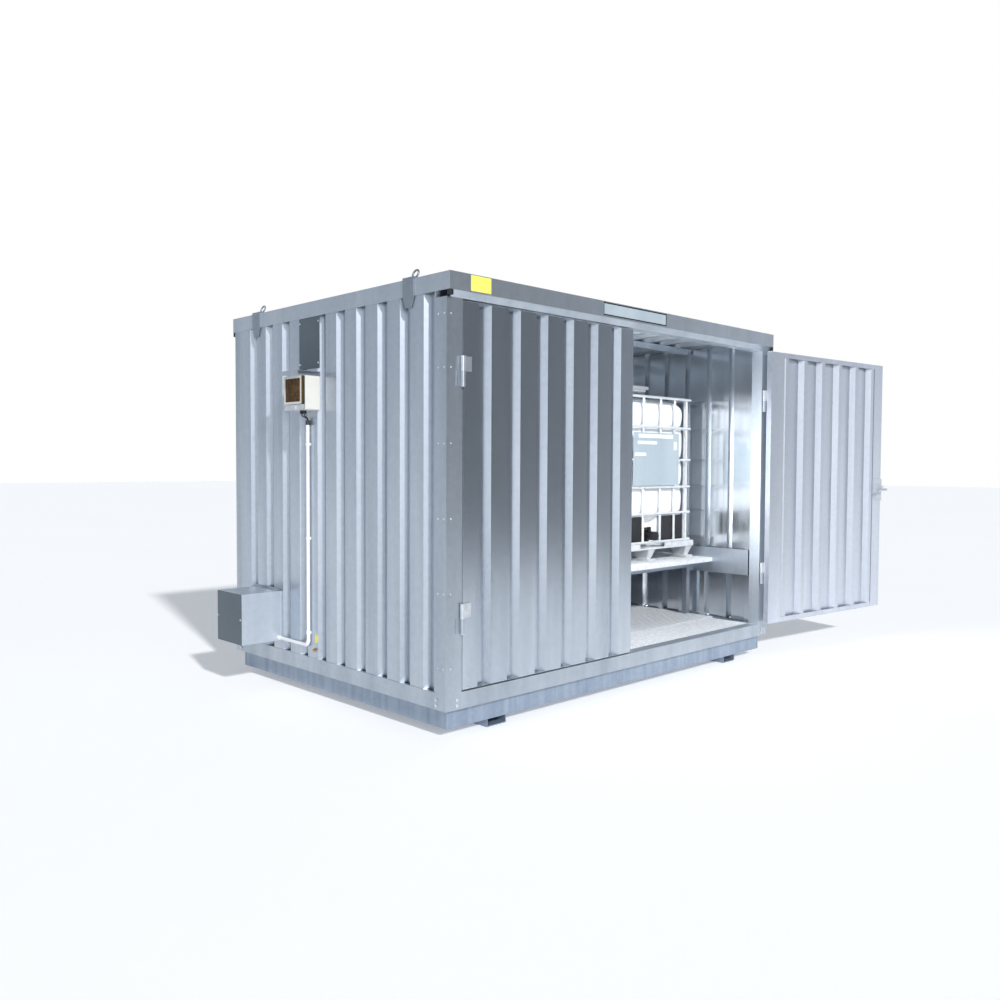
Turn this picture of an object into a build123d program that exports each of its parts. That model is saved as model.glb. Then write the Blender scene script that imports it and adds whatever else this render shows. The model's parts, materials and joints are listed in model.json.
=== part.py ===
"""Walk-in steel storage container with a sump, and the intermediate bulk container it holds.

Frame: origin on the ground at the middle of the base, +X along the door side to the right,
+Y from the doors to the back wall, +Z up. Millimetres.
"""

from build123d import *
from math import cos, radians, sin
import os

os.makedirs("parts", exist_ok=True)

# ---------------------------------------------------------------- driving sizes
length = 3050.0              # over the base rails, along X
depth = 2100.0               # over the base rails, along Y
height = 2300.0              # ground to roof edge

steel = 3.0                  # folded frame sheet
sheet = 2.0                  # ribbed wall, door and roof sheet
running_gap = 0.3            # between pieces that move past each other
pin_clearance = 0.05         # radial, pin in knuckle

skid_height = 48.0
skid_width = 140.0
skid_wall = 5.0
skid_from_end = 400.0        # runner centre line from the end of the base
skid_setback = 55.0          # runner ends behind the base rail face

rail_bottom = 150.0
rail_top = 235.0
tub_inset = 40.0
tub_wall = 4.0
rail_flange = 20.0           # top flange on the sides and back
sill_flange = 75.0           # top flange under the doors

fascia_height = 88.0
fascia_front = 25.0          # roof edge ahead of the base rail
fascia_back = 15.0
fascia_flange = 40.0
lintel_drop = 32.0           # sloping strip under the front fascia
roof_air = 5.0               # between the roof sheet's ribs and the edge frame

front_post_width = 105.0
front_post_depth = 80.0
rear_post_side = 60.0

rib_depth = 35.0
rib_floor = 40.0             # flat bottom of a rib
wall_rib_mouth = 84.0
door_rib_mouth = 90.0
wall_pitch = 191.5
first_side_rib = 135.0       # from the front of the base to the first side rib
rib_margin = 50.0            # least flat between the last rib and the end of a run

door_gap = 3.0
door_clear = 8.0             # leaf above the sill and below the lintel
left_leaf_width = 1355.0
door_ribs = 6
left_rib_margins = (148.0, 160.0)     # hinge edge and meeting edge to the nearest rib
right_rib_margins = (190.0, 145.0)
open_angle = 174.0           # the right leaf stands open

shoot_radius = 7.0           # shoot bolts of the standing leaf
shoot_bolt_in = 60.0         # from its meeting edge
shoot_play = 1.5             # radial, shoot bolt in the sill and the lintel
shoot_back = 2.0             # tip behind the end of the leaf when drawn back

knuckle_radius = 12.0
pin_radius = 7.0
knuckle_stand_off = 1.0      # knuckle clear of the leaf face
hinge_plate = 5.0
hinge_half = 74.0            # height of one knuckle
hinge_plate_reach = 22.0     # post plate beyond its knuckle
pin_short = 4.0              # pin below the top of the upper knuckle
hinge_heights = (530.0, 1752.0)       # lower ends of the two hinges

floor_bar = 30.0             # grating bar height
bar_thickness = 3.0
bar_pitch = 66.0
tie_pitch = 300.0
platform_top = 680.0
platform_front = 420.0       # from the front of the base
platform_edge_gap = 60.0
beam_height = 60.0
beam_width = 40.0
beam_recess = 200.0          # front beam behind the edge of the platform

ibc_length = 1200.0          # along Y
ibc_width = 1000.0           # along X
ibc_centre_x = 880.0
ibc_gaps = (110.0, 267.0)    # free platform ahead of and behind it, shared out in this ratio

hood_width = 295.0
hood_depth = 265.0
hood_height = 302.0
hood_bottom = 290.0
hood_near = 1540.0           # near side of the vent hood, from the front of the base

box_width = 202.0
box_height = 196.0
box_depth = 115.0
box_bottom = 1672.0
box_near = 1110.0
conduit_radius = 10.0
conduit_from_front = 1216.0
conduit_low = 306.0

# ---------------------------------------------------------------- derived places
x_left = -length / 2
x_right = length / 2
y_front = -depth / 2
y_back = depth / 2
fascia_bottom = height - fascia_height
lintel_bottom = fascia_bottom - lintel_drop
wall_top = height - steel - rib_depth - sheet - roof_air
door_bottom = rail_top + door_clear
door_top = lintel_bottom - door_clear
wall_face = length / 2 - steel            # outer face of the side walls, from the middle
back_face = y_back - 2 * steel
wall_inside = wall_face - rib_depth - sheet
runner_x = length / 2 - skid_from_end

pin_offset = knuckle_radius + knuckle_stand_off
pin_y = y_front - pin_offset
pin_from_edge = 12.0                      # pin line outside the leaf's hinge edge
leaf_edge = front_post_width + door_gap
left_pin = (x_left + leaf_edge - pin_from_edge, pin_y)
right_pin = (x_right - leaf_edge + pin_from_edge, pin_y)
right_leaf_width = length - 2 * leaf_edge - left_leaf_width - door_gap
leaf_depth = rib_depth + 2 * sheet        # crest face to the back of the inner flange
shoot_bolt_x = x_left + leaf_edge + left_leaf_width - shoot_bolt_in
shoot_bolt_y = y_front + leaf_depth + 2 * shoot_radius
bolt_hole = shoot_radius + shoot_play


def save(piece, name):
    """Label a finished piece and write it as its own STEP file."""
    piece.label = name
    export_step(piece, f"parts/{name}.step")


def save_group(pieces, name):
    """Write pieces that share a node as separate solids of one STEP file."""
    save(Compound(children=[piece.part for piece in pieces]), name)


def block(x0, x1, y0, y1, z0, z1, mode=Mode.ADD):
    """A rectangular block between two corners, in the open part."""
    with Locations(((x0 + x1) / 2, (y0 + y1) / 2, (z0 + z1) / 2)):
        Box(abs(x1 - x0), abs(y1 - y0), abs(z1 - z0), mode=mode)


def rod(start, end, radius, mode=Mode.ADD):
    """A round bar from start to end, in the open part."""
    start, end = Vector(*start), Vector(*end)
    with BuildSketch(Plane(origin=start, z_dir=end - start)) as section:
        Circle(radius)
    extrude(section.sketch, amount=(end - start).length, mode=mode)


def ribbed_outline(run, rib_centres, mouth, side=1):
    """Points round a ribbed sheet: flat face at y = 0, ribs towards side * y."""
    face = [(0.0, 0.0)]
    for centre in rib_centres:
        face.append((centre - mouth / 2, 0.0))
        face.append((centre - rib_floor / 2, rib_depth))
        face.append((centre + rib_floor / 2, rib_depth))
        face.append((centre + mouth / 2, 0.0))
    face.append((run, 0.0))
    inside = [(x, y + sheet) for x, y in reversed(face)]
    return [(x, side * y) for x, y in face + inside]


def ribbed_sheet(plane, run, rib_centres, mouth, amount, side=1):
    """Extrude a ribbed sheet from the given plane, in the open part."""
    with BuildSketch(plane) as section:
        with BuildLine():
            Polyline(*ribbed_outline(run, rib_centres, mouth, side), close=True)
        make_face()
    extrude(section.sketch, amount=amount)


def rib_count(run):
    """How many ribs at the wall pitch fit in a run."""
    return int((run - wall_rib_mouth - 2 * rib_margin) / wall_pitch) + 1


def centred_ribs(run):
    """Rib centres at the wall pitch, in the middle of a run."""
    count = rib_count(run)
    first = (run - (count - 1) * wall_pitch) / 2
    return [first + i * wall_pitch for i in range(count)]


# ---------------------------------------------------------------- skids, sump and base
runner_half = depth / 2 - skid_setback
with BuildPart() as skid_frame:
    for x in (-runner_x, runner_x):
        block(x - skid_width / 2, x + skid_width / 2, -runner_half, runner_half, 0, skid_height)
    block(-runner_x, runner_x, -skid_width / 2, skid_width / 2, 0, skid_height)
    bore = skid_width / 2 - skid_wall
    for x in (-runner_x, runner_x):
        block(x - bore, x + bore, -runner_half, runner_half,
              skid_wall, skid_height - skid_wall, mode=Mode.SUBTRACT)
    block(-runner_x, runner_x, -bore, bore, skid_wall, skid_height - skid_wall, mode=Mode.SUBTRACT)
save(skid_frame.part, "skid_frame")

tub_x = length / 2 - tub_inset
tub_y = depth / 2 - tub_inset
tub_top = rail_top - steel
tub_floor = skid_height + tub_wall
with BuildPart() as sump_tub:
    block(-tub_x, tub_x, -tub_y, tub_y, skid_height, tub_top)
    block(-tub_x + tub_wall, tub_x - tub_wall, -tub_y + tub_wall, tub_y - tub_wall,
          tub_floor, tub_top, mode=Mode.SUBTRACT)
save(sump_tub.part, "sump_tub")

with BuildPart() as base_frame:
    block(x_left, x_right, y_front, y_back, rail_bottom, rail_top)
    block(x_left + steel, x_right - steel, y_front + steel, y_back - steel,
          rail_bottom + steel, rail_top - steel, mode=Mode.SUBTRACT)
    block(-tub_x, tub_x, -tub_y, tub_y, rail_bottom, rail_bottom + steel, mode=Mode.SUBTRACT)
    block(x_left + rail_flange, x_right - rail_flange, y_front + sill_flange, y_back - rail_flange,
          rail_top - steel, rail_top, mode=Mode.SUBTRACT)
    rod((shoot_bolt_x, shoot_bolt_y, rail_top - 2 * steel), (shoot_bolt_x, shoot_bolt_y, rail_top + 1),
        bolt_hole, mode=Mode.SUBTRACT)
save(base_frame.part, "base_frame")

bolt_head = 9.0
bolt_stand = 6.0
bolt_in = 70.0
bolt_rows = (rail_bottom + 22.0, rail_bottom + 50.0)
with BuildPart() as base_bolts:
    for z in bolt_rows:
        for x in (x_left + bolt_in, x_right - bolt_in):
            for y, way in ((y_front, -1), (y_back, 1)):
                with BuildSketch(Plane(origin=(x, y, z), z_dir=(0, way, 0))) as head:
                    RegularPolygon(bolt_head, 6)
                extrude(head.sketch, amount=bolt_stand)
        for y in (y_front + bolt_in, y_back - bolt_in):
            for x, way in ((x_left, -1), (x_right, 1)):
                with BuildSketch(Plane(origin=(x, y, z), z_dir=(way, 0, 0))) as head:
                    RegularPolygon(bolt_head, 6)
                extrude(head.sketch, amount=bolt_stand)

# ---------------------------------------------------------------- posts
with BuildPart() as front_posts:
    for way in (-1, 1):
        outer = way * length / 2
        inner = outer - way * front_post_width
        block(outer, inner, y_front, y_front + front_post_depth, rail_top, lintel_bottom)
        block(outer - way * steel, inner + way * steel, y_front + steel,
              y_front + front_post_depth - steel, rail_top, lintel_bottom, mode=Mode.SUBTRACT)

with BuildPart() as rear_posts:
    for way in (-1, 1):
        outer = way * wall_face
        block(outer, outer - way * rear_post_side, back_face - rear_post_side, back_face,
              rail_top, wall_top)
        block(outer - way * steel, outer - way * rear_post_side, back_face - rear_post_side,
              back_face - steel, rail_top, wall_top, mode=Mode.SUBTRACT)
save_group([front_posts, rear_posts], "corner_posts")

# ---------------------------------------------------------------- walls
side_start = y_front + front_post_depth
side_end = back_face - rear_post_side
side_run = side_end - side_start
first_place = first_side_rib - front_post_depth
side_ribs = int((side_run - rib_margin - wall_rib_mouth / 2 - first_place) / wall_pitch) + 1
side_rib_places = [first_place + i * wall_pitch for i in range(side_ribs)]
wall_height = wall_top - rail_top

fan_centre_y = y_front + hood_near + hood_width / 2
fan_centre_z = hood_bottom + hood_height / 2
fan_radius = 105.0
fan_hole_play = 10.0         # wall hole round the duct
with BuildPart() as left_wall:
    from_back = [side_run - place for place in reversed(side_rib_places)]
    left_plane = Plane(origin=(-wall_face, side_end, rail_top), x_dir=(0, -1, 0), z_dir=(0, 0, 1))
    ribbed_sheet(left_plane, side_run, from_back, wall_rib_mouth, wall_height)
    rod((-length / 2 - 1, fan_centre_y, fan_centre_z), (-wall_inside + 1, fan_centre_y, fan_centre_z),
        fan_radius + fan_hole_play, mode=Mode.SUBTRACT)
save(left_wall.part, "left_wall")

with BuildPart() as right_wall:
    right_plane = Plane(origin=(wall_face, side_start, rail_top), x_dir=(0, 1, 0), z_dir=(0, 0, 1))
    ribbed_sheet(right_plane, side_run, side_rib_places, wall_rib_mouth, wall_height)
save(right_wall.part, "right_wall")

back_run = 2 * (wall_face - rear_post_side)
with BuildPart() as back_wall:
    back_plane = Plane(origin=(back_run / 2, back_face, rail_top), x_dir=(-1, 0, 0), z_dir=(0, 0, 1))
    ribbed_sheet(back_plane, back_run, centred_ribs(back_run), wall_rib_mouth, wall_height)
save(back_wall.part, "back_wall")

# ---------------------------------------------------------------- roof
roof_front = y_front - fascia_front
roof_back = y_back + fascia_back
bar_front = roof_front + fascia_flange
bar_back = roof_back - fascia_flange
roof_bands = (
    (x_left, x_right, roof_front, bar_front),
    (x_left, x_right, bar_back, roof_back),
    (x_left, x_left + fascia_flange, bar_front, bar_back),
    (x_right - fascia_flange, x_right, bar_front, bar_back),
)
roof_bars = []
for band in roof_bands:
    with BuildPart() as roof_bar:
        block(x_left, x_right, roof_front, roof_back, fascia_bottom, height)
        block(x_left + steel, x_right - steel, roof_front + steel, roof_back - steel,
              fascia_bottom, height - steel, mode=Mode.SUBTRACT)
        block(x_left + fascia_flange, x_right - fascia_flange, bar_front, bar_back,
              fascia_bottom, height, mode=Mode.SUBTRACT)
        block(*band, fascia_bottom, height, mode=Mode.INTERSECT)
    roof_bars.append(roof_bar)

roof_run = 2 * wall_face
with BuildPart() as roof_sheet:
    roof_plane = Plane(origin=(-wall_face, roof_front + steel, wall_top + rib_depth + sheet),
                       x_dir=(1, 0, 0), z_dir=(0, 1, 0))
    ribbed_sheet(roof_plane, roof_run, centred_ribs(roof_run), wall_rib_mouth,
                 roof_back - roof_front - 2 * steel)
save(roof_sheet.part, "roof_sheet")

purlin_places = (-350.0, 350.0)
purlin_width = 60.0
purlin_height = 40.0
with BuildPart() as roof_purlins:
    for y in purlin_places:
        block(-wall_inside, wall_inside, y - purlin_width / 2, y + purlin_width / 2,
              wall_top - purlin_height, wall_top)
        block(-wall_inside, wall_inside, y - purlin_width / 2 + steel, y + purlin_width / 2 - steel,
              wall_top - purlin_height + steel, wall_top - steel, mode=Mode.SUBTRACT)
save_group([*roof_bars, roof_purlins], "roof_frame")

plug_size = 24.0
plug_height = 26.0
plug_round = 3.0
lintel_end = length / 2 - plug_size - running_gap
with BuildPart() as door_lintel:
    lip = [(roof_front + steel, fascia_bottom), (y_front, lintel_bottom),
           (y_front + front_post_depth, lintel_bottom),
           (y_front + front_post_depth, wall_top),
           (y_front + front_post_depth - steel, wall_top),
           (y_front + front_post_depth - steel, lintel_bottom + steel),
           (y_front + steel, lintel_bottom + steel), (roof_front + steel, fascia_bottom + 2 * steel)]
    with BuildSketch(Plane(origin=(-lintel_end, 0, 0), x_dir=(0, 1, 0), z_dir=(1, 0, 0))) as section:
        with BuildLine():
            Polyline(*lip, close=True)
        make_face()
    extrude(section.sketch, amount=2 * lintel_end)
    rod((shoot_bolt_x, shoot_bolt_y, lintel_bottom - 1),
        (shoot_bolt_x, shoot_bolt_y, lintel_bottom + 2 * steel), bolt_hole, mode=Mode.SUBTRACT)
save(door_lintel.part, "door_lintel")

with BuildPart() as roof_corner_plugs:
    for way in (-1, 1):
        corner = way * (length / 2 - plug_size / 2)
        with Locations((corner, roof_front + plug_size / 2, fascia_bottom - plug_height / 2)):
            Box(plug_size, plug_size, plug_height)
        with Locations((corner, y_back + fascia_back / 2, fascia_bottom - plug_height / 2)):
            Box(plug_size, fascia_back, plug_height)
    fillet(roof_corner_plugs.edges().filter_by(Axis.Z), radius=plug_round)
save(roof_corner_plugs.part, "roof_corner_plugs")

# ---------------------------------------------------------------- lifting brackets
bracket_width = 88.0
bracket_plate = 8.0
bracket_tail = 57.0
bracket_return = 68.0
bracket_from_end = 290.0
eye_radius = 22.0
eye_bar = 5.0
eye_lean = 20.0
with BuildPart() as lifting_brackets:
    for way in (-1, 1):
        face = way * length / 2
        for y in (y_front + bracket_from_end, y_back - bracket_from_end):
            outline = [(-bracket_width / 2, height + bracket_plate),
                       (bracket_width / 2, height + bracket_plate),
                       (bracket_width / 2, fascia_bottom),
                       (bracket_width / 4, fascia_bottom - bracket_tail),
                       (-bracket_width / 4, fascia_bottom - bracket_tail),
                       (-bracket_width / 2, fascia_bottom)]
            with BuildSketch(Plane(origin=(face, y, 0), x_dir=(0, 1, 0), z_dir=(1, 0, 0))) as section:
                with BuildLine():
                    Polyline(*outline, close=True)
                make_face()
            extrude(section.sketch, amount=way * bracket_plate)
            block(face, face - way * bracket_return, y - bracket_width / 2, y + bracket_width / 2,
                  height, height + bracket_plate)

with BuildPart() as lifting_eyes:
    for way in (-1, 1):
        for y in (y_front + bracket_from_end, y_back - bracket_from_end):
            up = Vector(-way * sin(radians(eye_lean)), 0, cos(radians(eye_lean)))
            foot = Vector(way * (length / 2 - bracket_return / 2), y, height + bracket_plate)
            centre = foot + up * (eye_radius + eye_bar - 1)
            with Locations(Plane(origin=centre, x_dir=(0, 1, 0), z_dir=up.cross(Vector(0, 1, 0)))):
                Torus(eye_radius, eye_bar)
    block(x_left - bracket_return, x_right + bracket_return, roof_front, roof_back,
          height, height + bracket_plate, mode=Mode.SUBTRACT)
save_group([lifting_brackets, lifting_eyes], "lifting_brackets")

# ---------------------------------------------------------------- doors
left_door = {
    "side": 1, "pin": left_pin, "width": left_leaf_width, "margins": left_rib_margins,
    "plane": Plane(origin=(*left_pin, 0), x_dir=(1, 0, 0), z_dir=(0, 0, 1)),
}
open_turn = radians(180 + open_angle)
right_door = {
    "side": -1, "pin": right_pin, "width": right_leaf_width, "margins": right_rib_margins,
    "plane": Plane(origin=(*right_pin, 0), x_dir=(cos(open_turn), sin(open_turn), 0), z_dir=(0, 0, 1)),
}
face_v = pin_offset                       # outer face of a leaf, behind its pin line
flange_v = face_v + rib_depth + sheet     # front of the inner flange
back_v = flange_v + sheet
hinge_stile = 150.0
meeting_stile = 120.0
cross_rail = 35.0


def leaf_block(door, u, v, z, mode=Mode.ADD):
    """A block on a leaf: u along it from the pin line, v inward, z up, each a (low, high) pair."""
    side = door["side"]
    with BuildSketch(door["plane"].offset(z[0])) as section:
        with BuildLine():
            Polyline((u[0], side * v[0]), (u[1], side * v[0]), (u[1], side * v[1]), (u[0], side * v[1]),
                     close=True)
        make_face()
    extrude(section.sketch, amount=z[1] - z[0], mode=mode)


def leaf_point(door, u, v, z):
    """A place on a leaf in the part's own frame."""
    return door["plane"].from_local_coords(Vector(u, door["side"] * v, z))


# lock of the walking leaf: case on the inner stile, latch, spindle and a lever on each face
lock_height = 1180.0
lock_half = 85.0
lock_case_depth = 16.0
lock_case_in = 8.0                        # case back from the meeting edge
lock_case_width = 74.0
latch_reach = 26.0
latch_travel = 24.0
latch_inside = 34.0
latch_thick = 12.0
latch_tall = 16.0
latch_above = 22.0                        # latch over the spindle
spindle_radius = 5.0
spindle_in = 42.0                         # spindle line from the meeting edge
lever_length = 105.0
lever_bar = 9.0
lever_stand = 48.0
lever_neck = 10.0
rose_radius = 24.0
rose_thick = 4.0
right_edge = pin_from_edge + right_leaf_width
spindle_u = right_edge - spindle_in
case_v = back_v + lock_case_depth
latch_v = back_v + lock_case_depth / 2
latch_z = lock_height + latch_above


def spindle_bore(mode):
    """The clearance hole for the lever spindle, right through the walking leaf and its lock."""
    rod(leaf_point(right_door, spindle_u, 0, lock_height),
        leaf_point(right_door, spindle_u, case_v + lever_stand, lock_height),
        spindle_radius + running_gap, mode=mode)


for name, door in (("left", left_door), ("right", right_door)):
    u0 = pin_from_edge
    u1 = u0 + door["width"]
    with BuildPart() as door_frame:
        leaf_block(door, (u0, u1), (face_v, back_v), (door_bottom, door_top))
        leaf_block(door, (u0 + sheet, u1 - sheet), (face_v - 1, flange_v),
                   (door_bottom + sheet, door_top - sheet), mode=Mode.SUBTRACT)
        leaf_block(door, (u0 + hinge_stile, u1 - meeting_stile), (flange_v - 1, back_v + 1),
                   (door_bottom + cross_rail, door_top - cross_rail), mode=Mode.SUBTRACT)
        if name == "right":
            spindle_bore(Mode.SUBTRACT)
    save(door_frame.part, f"{name}_door_frame")

    run = door["width"] - 2 * sheet
    first = door["margins"][0] - sheet
    last = run - door["margins"][1] + sheet
    step = (last - first) / (door_ribs - 1)
    ribs = [first + i * step for i in range(door_ribs)]
    side = door["side"]
    with BuildPart() as door_sheet:
        corner = door["plane"].from_local_coords(Vector(u0 + sheet, side * face_v, door_bottom + sheet))
        sheet_plane = Plane(origin=corner, x_dir=door["plane"].x_dir, z_dir=(0, 0, 1))
        ribbed_sheet(sheet_plane, run, ribs, door_rib_mouth, door_top - door_bottom - 2 * sheet, side)
        if name == "right":
            spindle_bore(Mode.SUBTRACT)
    save(door_sheet.part, f"{name}_door_sheet")

    strap_reach = 66.0
    with BuildPart() as door_straps:
        for low in hinge_heights:
            upper = (low + hinge_half + running_gap, low + 2 * hinge_half)
            with Locations((*door["pin"], upper[0])):
                Cylinder(knuckle_radius, upper[1] - upper[0], align=(Align.CENTER, Align.CENTER, Align.MIN))
            leaf_block(door, (0, strap_reach), (face_v - hinge_plate, face_v), upper)
        for low in hinge_heights:
            rod((*door["pin"], low), (*door["pin"], low + 3 * hinge_half), pin_radius + pin_clearance,
                mode=Mode.SUBTRACT)
    door["straps"] = door_straps

with BuildPart() as hinge_plates:
    for (x, y), way in ((left_pin, -1), (right_pin, 1)):
        for low in hinge_heights:
            with Locations((x, y, low)):
                Cylinder(knuckle_radius, hinge_half, align=(Align.CENTER, Align.CENTER, Align.MIN))
            block(x, x + way * (knuckle_radius + hinge_plate_reach), y_front - hinge_plate, y_front,
                  low, low + hinge_half)
            rod((x, y, low - 1), (x, y, low + hinge_half + 1), pin_radius + pin_clearance, mode=Mode.SUBTRACT)
save(hinge_plates.part, "hinge_plates")

pin_head = 3.0
with BuildPart() as hinge_pins:
    for x, y in (left_pin, right_pin):
        for low in hinge_heights:
            with Locations((x, y, low)):
                Cylinder(pin_radius, 2 * hinge_half - pin_short,
                         align=(Align.CENTER, Align.CENTER, Align.MIN))
            with Locations((x, y, low - pin_head)):
                Cylinder(knuckle_radius - 1, pin_head, align=(Align.CENTER, Align.CENTER, Align.MIN))
save(hinge_pins.part, "hinge_pins")

with BuildPart() as lock_case:
    leaf_block(right_door, (right_edge - lock_case_in - lock_case_width, right_edge - lock_case_in),
               (back_v, case_v), (lock_height - lock_half, lock_height + lock_half))
    slot = latch_thick / 2 + running_gap
    slot_tall = latch_tall / 2 + running_gap
    leaf_block(right_door, (right_edge - latch_inside - latch_travel - 2, right_edge),
               (latch_v - slot, latch_v + slot), (latch_z - slot_tall, latch_z + slot_tall),
               mode=Mode.SUBTRACT)
    spindle_bore(Mode.SUBTRACT)

with BuildPart() as latch_bolt:
    leaf_block(right_door, (right_edge - latch_inside, right_edge + latch_reach),
               (latch_v - latch_thick / 2, latch_v + latch_thick / 2),
               (latch_z - latch_tall / 2, latch_z + latch_tall / 2))
save(latch_bolt.part, "latch_bolt")

with BuildPart() as door_roses:
    for low, high in ((face_v - rose_thick, face_v), (case_v, case_v + rose_thick)):
        rod(leaf_point(right_door, spindle_u, low, lock_height),
            leaf_point(right_door, spindle_u, high, lock_height), rose_radius)
    spindle_bore(Mode.SUBTRACT)
save_group([lock_case, door_roses], "lock_case")

with BuildPart() as door_levers:
    outside = face_v - rose_thick - lever_stand
    inside = case_v + rose_thick + lever_stand
    rod(leaf_point(right_door, spindle_u, outside, lock_height),
        leaf_point(right_door, spindle_u, inside, lock_height), spindle_radius)
    for v, way in ((outside, 1), (inside, -1)):
        rod(leaf_point(right_door, spindle_u, v - way * (lever_bar + 2), lock_height),
            leaf_point(right_door, spindle_u, v + way * (lever_stand - running_gap), lock_height), lever_neck)
        rod(leaf_point(right_door, spindle_u, v, lock_height),
            leaf_point(right_door, spindle_u - lever_length, v, lock_height), lever_bar)
save(door_levers.part, "door_levers")

# shoot bolts of the standing leaf
shoot_length = 380.0
guide_half = 15.0
guide_places = (45.0, 235.0)              # from the outer end of a leaf to its guides
shoot_knob_place = 160.0                  # from the outer end of a leaf
shoot_knob_reach = 34.0
shoot_knob_radius = 6.0
for name, edge, way in (("top_shoot_bolt", door_top, 1), ("bottom_shoot_bolt", door_bottom, -1)):
    tip = edge - way * shoot_back
    knob_z = edge - way * shoot_knob_place
    with BuildPart() as shoot_bolt:
        rod((shoot_bolt_x, shoot_bolt_y, tip),
            (shoot_bolt_x, shoot_bolt_y, tip - way * shoot_length), shoot_radius)
        rod((shoot_bolt_x, shoot_bolt_y, knob_z),
            (shoot_bolt_x, shoot_bolt_y + shoot_knob_reach, knob_z), shoot_knob_radius)
    save(shoot_bolt.part, name)

with BuildPart() as shoot_bolt_guides:
    for edge, way in ((door_top, -1), (door_bottom, 1)):
        for place in guide_places:
            z = edge + way * place
            block(shoot_bolt_x - 2 * shoot_radius, shoot_bolt_x + 2 * shoot_radius, pin_y + back_v,
                  shoot_bolt_y + 2 * shoot_radius, z - guide_half, z + guide_half)
    rod((shoot_bolt_x, shoot_bolt_y, door_bottom), (shoot_bolt_x, shoot_bolt_y, door_top),
        shoot_radius + running_gap, mode=Mode.SUBTRACT)
save_group([left_door["straps"], shoot_bolt_guides], "left_door_fittings")
save(right_door["straps"].part, "right_door_straps")

# ---------------------------------------------------------------- floor
support_end = 130.0                       # end supports from the base rails
support_second = 440.0                    # second support from the front rail
supports = (y_front + support_end, y_front + support_second, 0.0, y_back - support_end)
support_width = 40.0
support_height = 30.0
grating_bottom = rail_top - floor_bar
floor_gap = 3.0                           # grating to the tub's sides
walkway_gap = 2.0                         # walkway grating to its neighbours
floor_half_x = tub_x - tub_wall - floor_gap
floor_front = y_front + sill_flange + walkway_gap
floor_split = y_front + 415.0
floor_back = tub_y - tub_wall - floor_gap
with BuildPart() as floor_beams:
    for y in supports:
        block(-floor_half_x, floor_half_x, y - support_width / 2, y + support_width / 2,
              grating_bottom - support_height, grating_bottom)

with BuildPart() as floor_legs:
    for y in supports:
        for x in (-floor_half_x + support_width, 0, floor_half_x - support_width):
            block(x - support_width / 2, x + support_width / 2, y - support_width / 2,
                  y + support_width / 2, tub_floor, grating_bottom - support_height)
save_group([floor_beams, floor_legs], "floor_supports")


def grating(x_half, y0, y1, z0, z1):
    """Bearing bars along Y between edge bars, with cross ties, in the open part."""
    run = y1 - y0
    middle = Vector(0, (y0 + y1) / 2, (z0 + z1) / 2)
    bars = int(2 * x_half / bar_pitch) - 1
    ties = int(run / tie_pitch) + 1
    block(-x_half, x_half, y0, y1, z0, z1)
    block(-x_half + bar_thickness, x_half - bar_thickness, y0 + bar_thickness, y1 - bar_thickness,
          z0, z1, mode=Mode.SUBTRACT)
    with Locations(middle):
        with GridLocations(bar_pitch, 1, bars, 1):
            Box(bar_thickness, run - bar_thickness, z1 - z0)
    with Locations(middle + Vector(0, 0, floor_bar / 3)):
        with GridLocations(1, run / (ties + 1), 1, ties):
            Box(2 * x_half - bar_thickness, bar_thickness, floor_bar / 3)


walkway_end_gap = 10.0                    # to the front posts
walkway_half_x = x_right - leaf_edge - walkway_end_gap
with BuildPart() as walkway_grating:
    grating(walkway_half_x, floor_front, floor_split - walkway_gap, grating_bottom, rail_top)
save(walkway_grating.part, "walkway_grating")

with BuildPart() as rear_grating:
    grating(floor_half_x, floor_split, floor_back, grating_bottom, rail_top)
save(rear_grating.part, "rear_grating")

# ---------------------------------------------------------------- container platform
platform_side_gap = 15.0                  # to the side walls, for the splash guard
platform_x = wall_inside - platform_side_gap
platform_y0 = y_front + platform_front
platform_y1 = back_face - rib_depth - sheet - platform_edge_gap
beam_bottom = platform_top - floor_bar - beam_height
beam_top = platform_top - floor_bar
beam_rows = (platform_y0 + beam_recess, platform_y1 - beam_width)
leg_columns = (-platform_x, -beam_width / 2, platform_x - beam_width)
with BuildPart() as platform_beams:
    for y in beam_rows:
        block(-platform_x, platform_x, y, y + beam_width, beam_bottom, beam_top)

with BuildPart() as platform_ties:
    for x in leg_columns:
        block(x, x + beam_width, beam_rows[0] + beam_width, beam_rows[1], beam_bottom, beam_top)

with BuildPart() as platform_legs:
    for x in leg_columns:
        for y in beam_rows:
            block(x, x + beam_width, y, y + beam_width, rail_top, beam_bottom)
save_group([platform_beams, platform_ties, platform_legs], "platform_frame")

with BuildPart() as platform_grating:
    grating(platform_x, platform_y0, platform_y1, platform_top - floor_bar, platform_top)
save(platform_grating.part, "platform_grating")

guard_rise = 75.0                         # splash guard above the platform
guard_hang = 20.0                         # and below its beams
guard_top = platform_top + guard_rise
ledge_depth = 45.0
ledge_height = 300.0
ledge_thick = 20.0
guard_bottom = beam_bottom - guard_hang
guard_setback = 40.0                      # guard behind the front posts
guard_front = y_front + front_post_depth + guard_setback
with BuildPart() as side_guards:
    for side in (-1, 1):
        block(side * platform_x, side * (platform_x + sheet), guard_front, platform_y1,
              guard_bottom, guard_top)

with BuildPart() as back_guard:
    block(-platform_x - sheet, platform_x + sheet, platform_y1, platform_y1 + sheet,
          rail_top, guard_top)

with BuildPart() as guard_ledge:
    block(-platform_x + beam_width, -beam_width, platform_y1 - ledge_depth, platform_y1,
          ledge_height, ledge_height + ledge_thick)
    block(beam_width, platform_x - beam_width, platform_y1 - ledge_depth, platform_y1,
          ledge_height, ledge_height + ledge_thick)
save_group([side_guards, back_guard, guard_ledge], "splash_guard")

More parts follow.
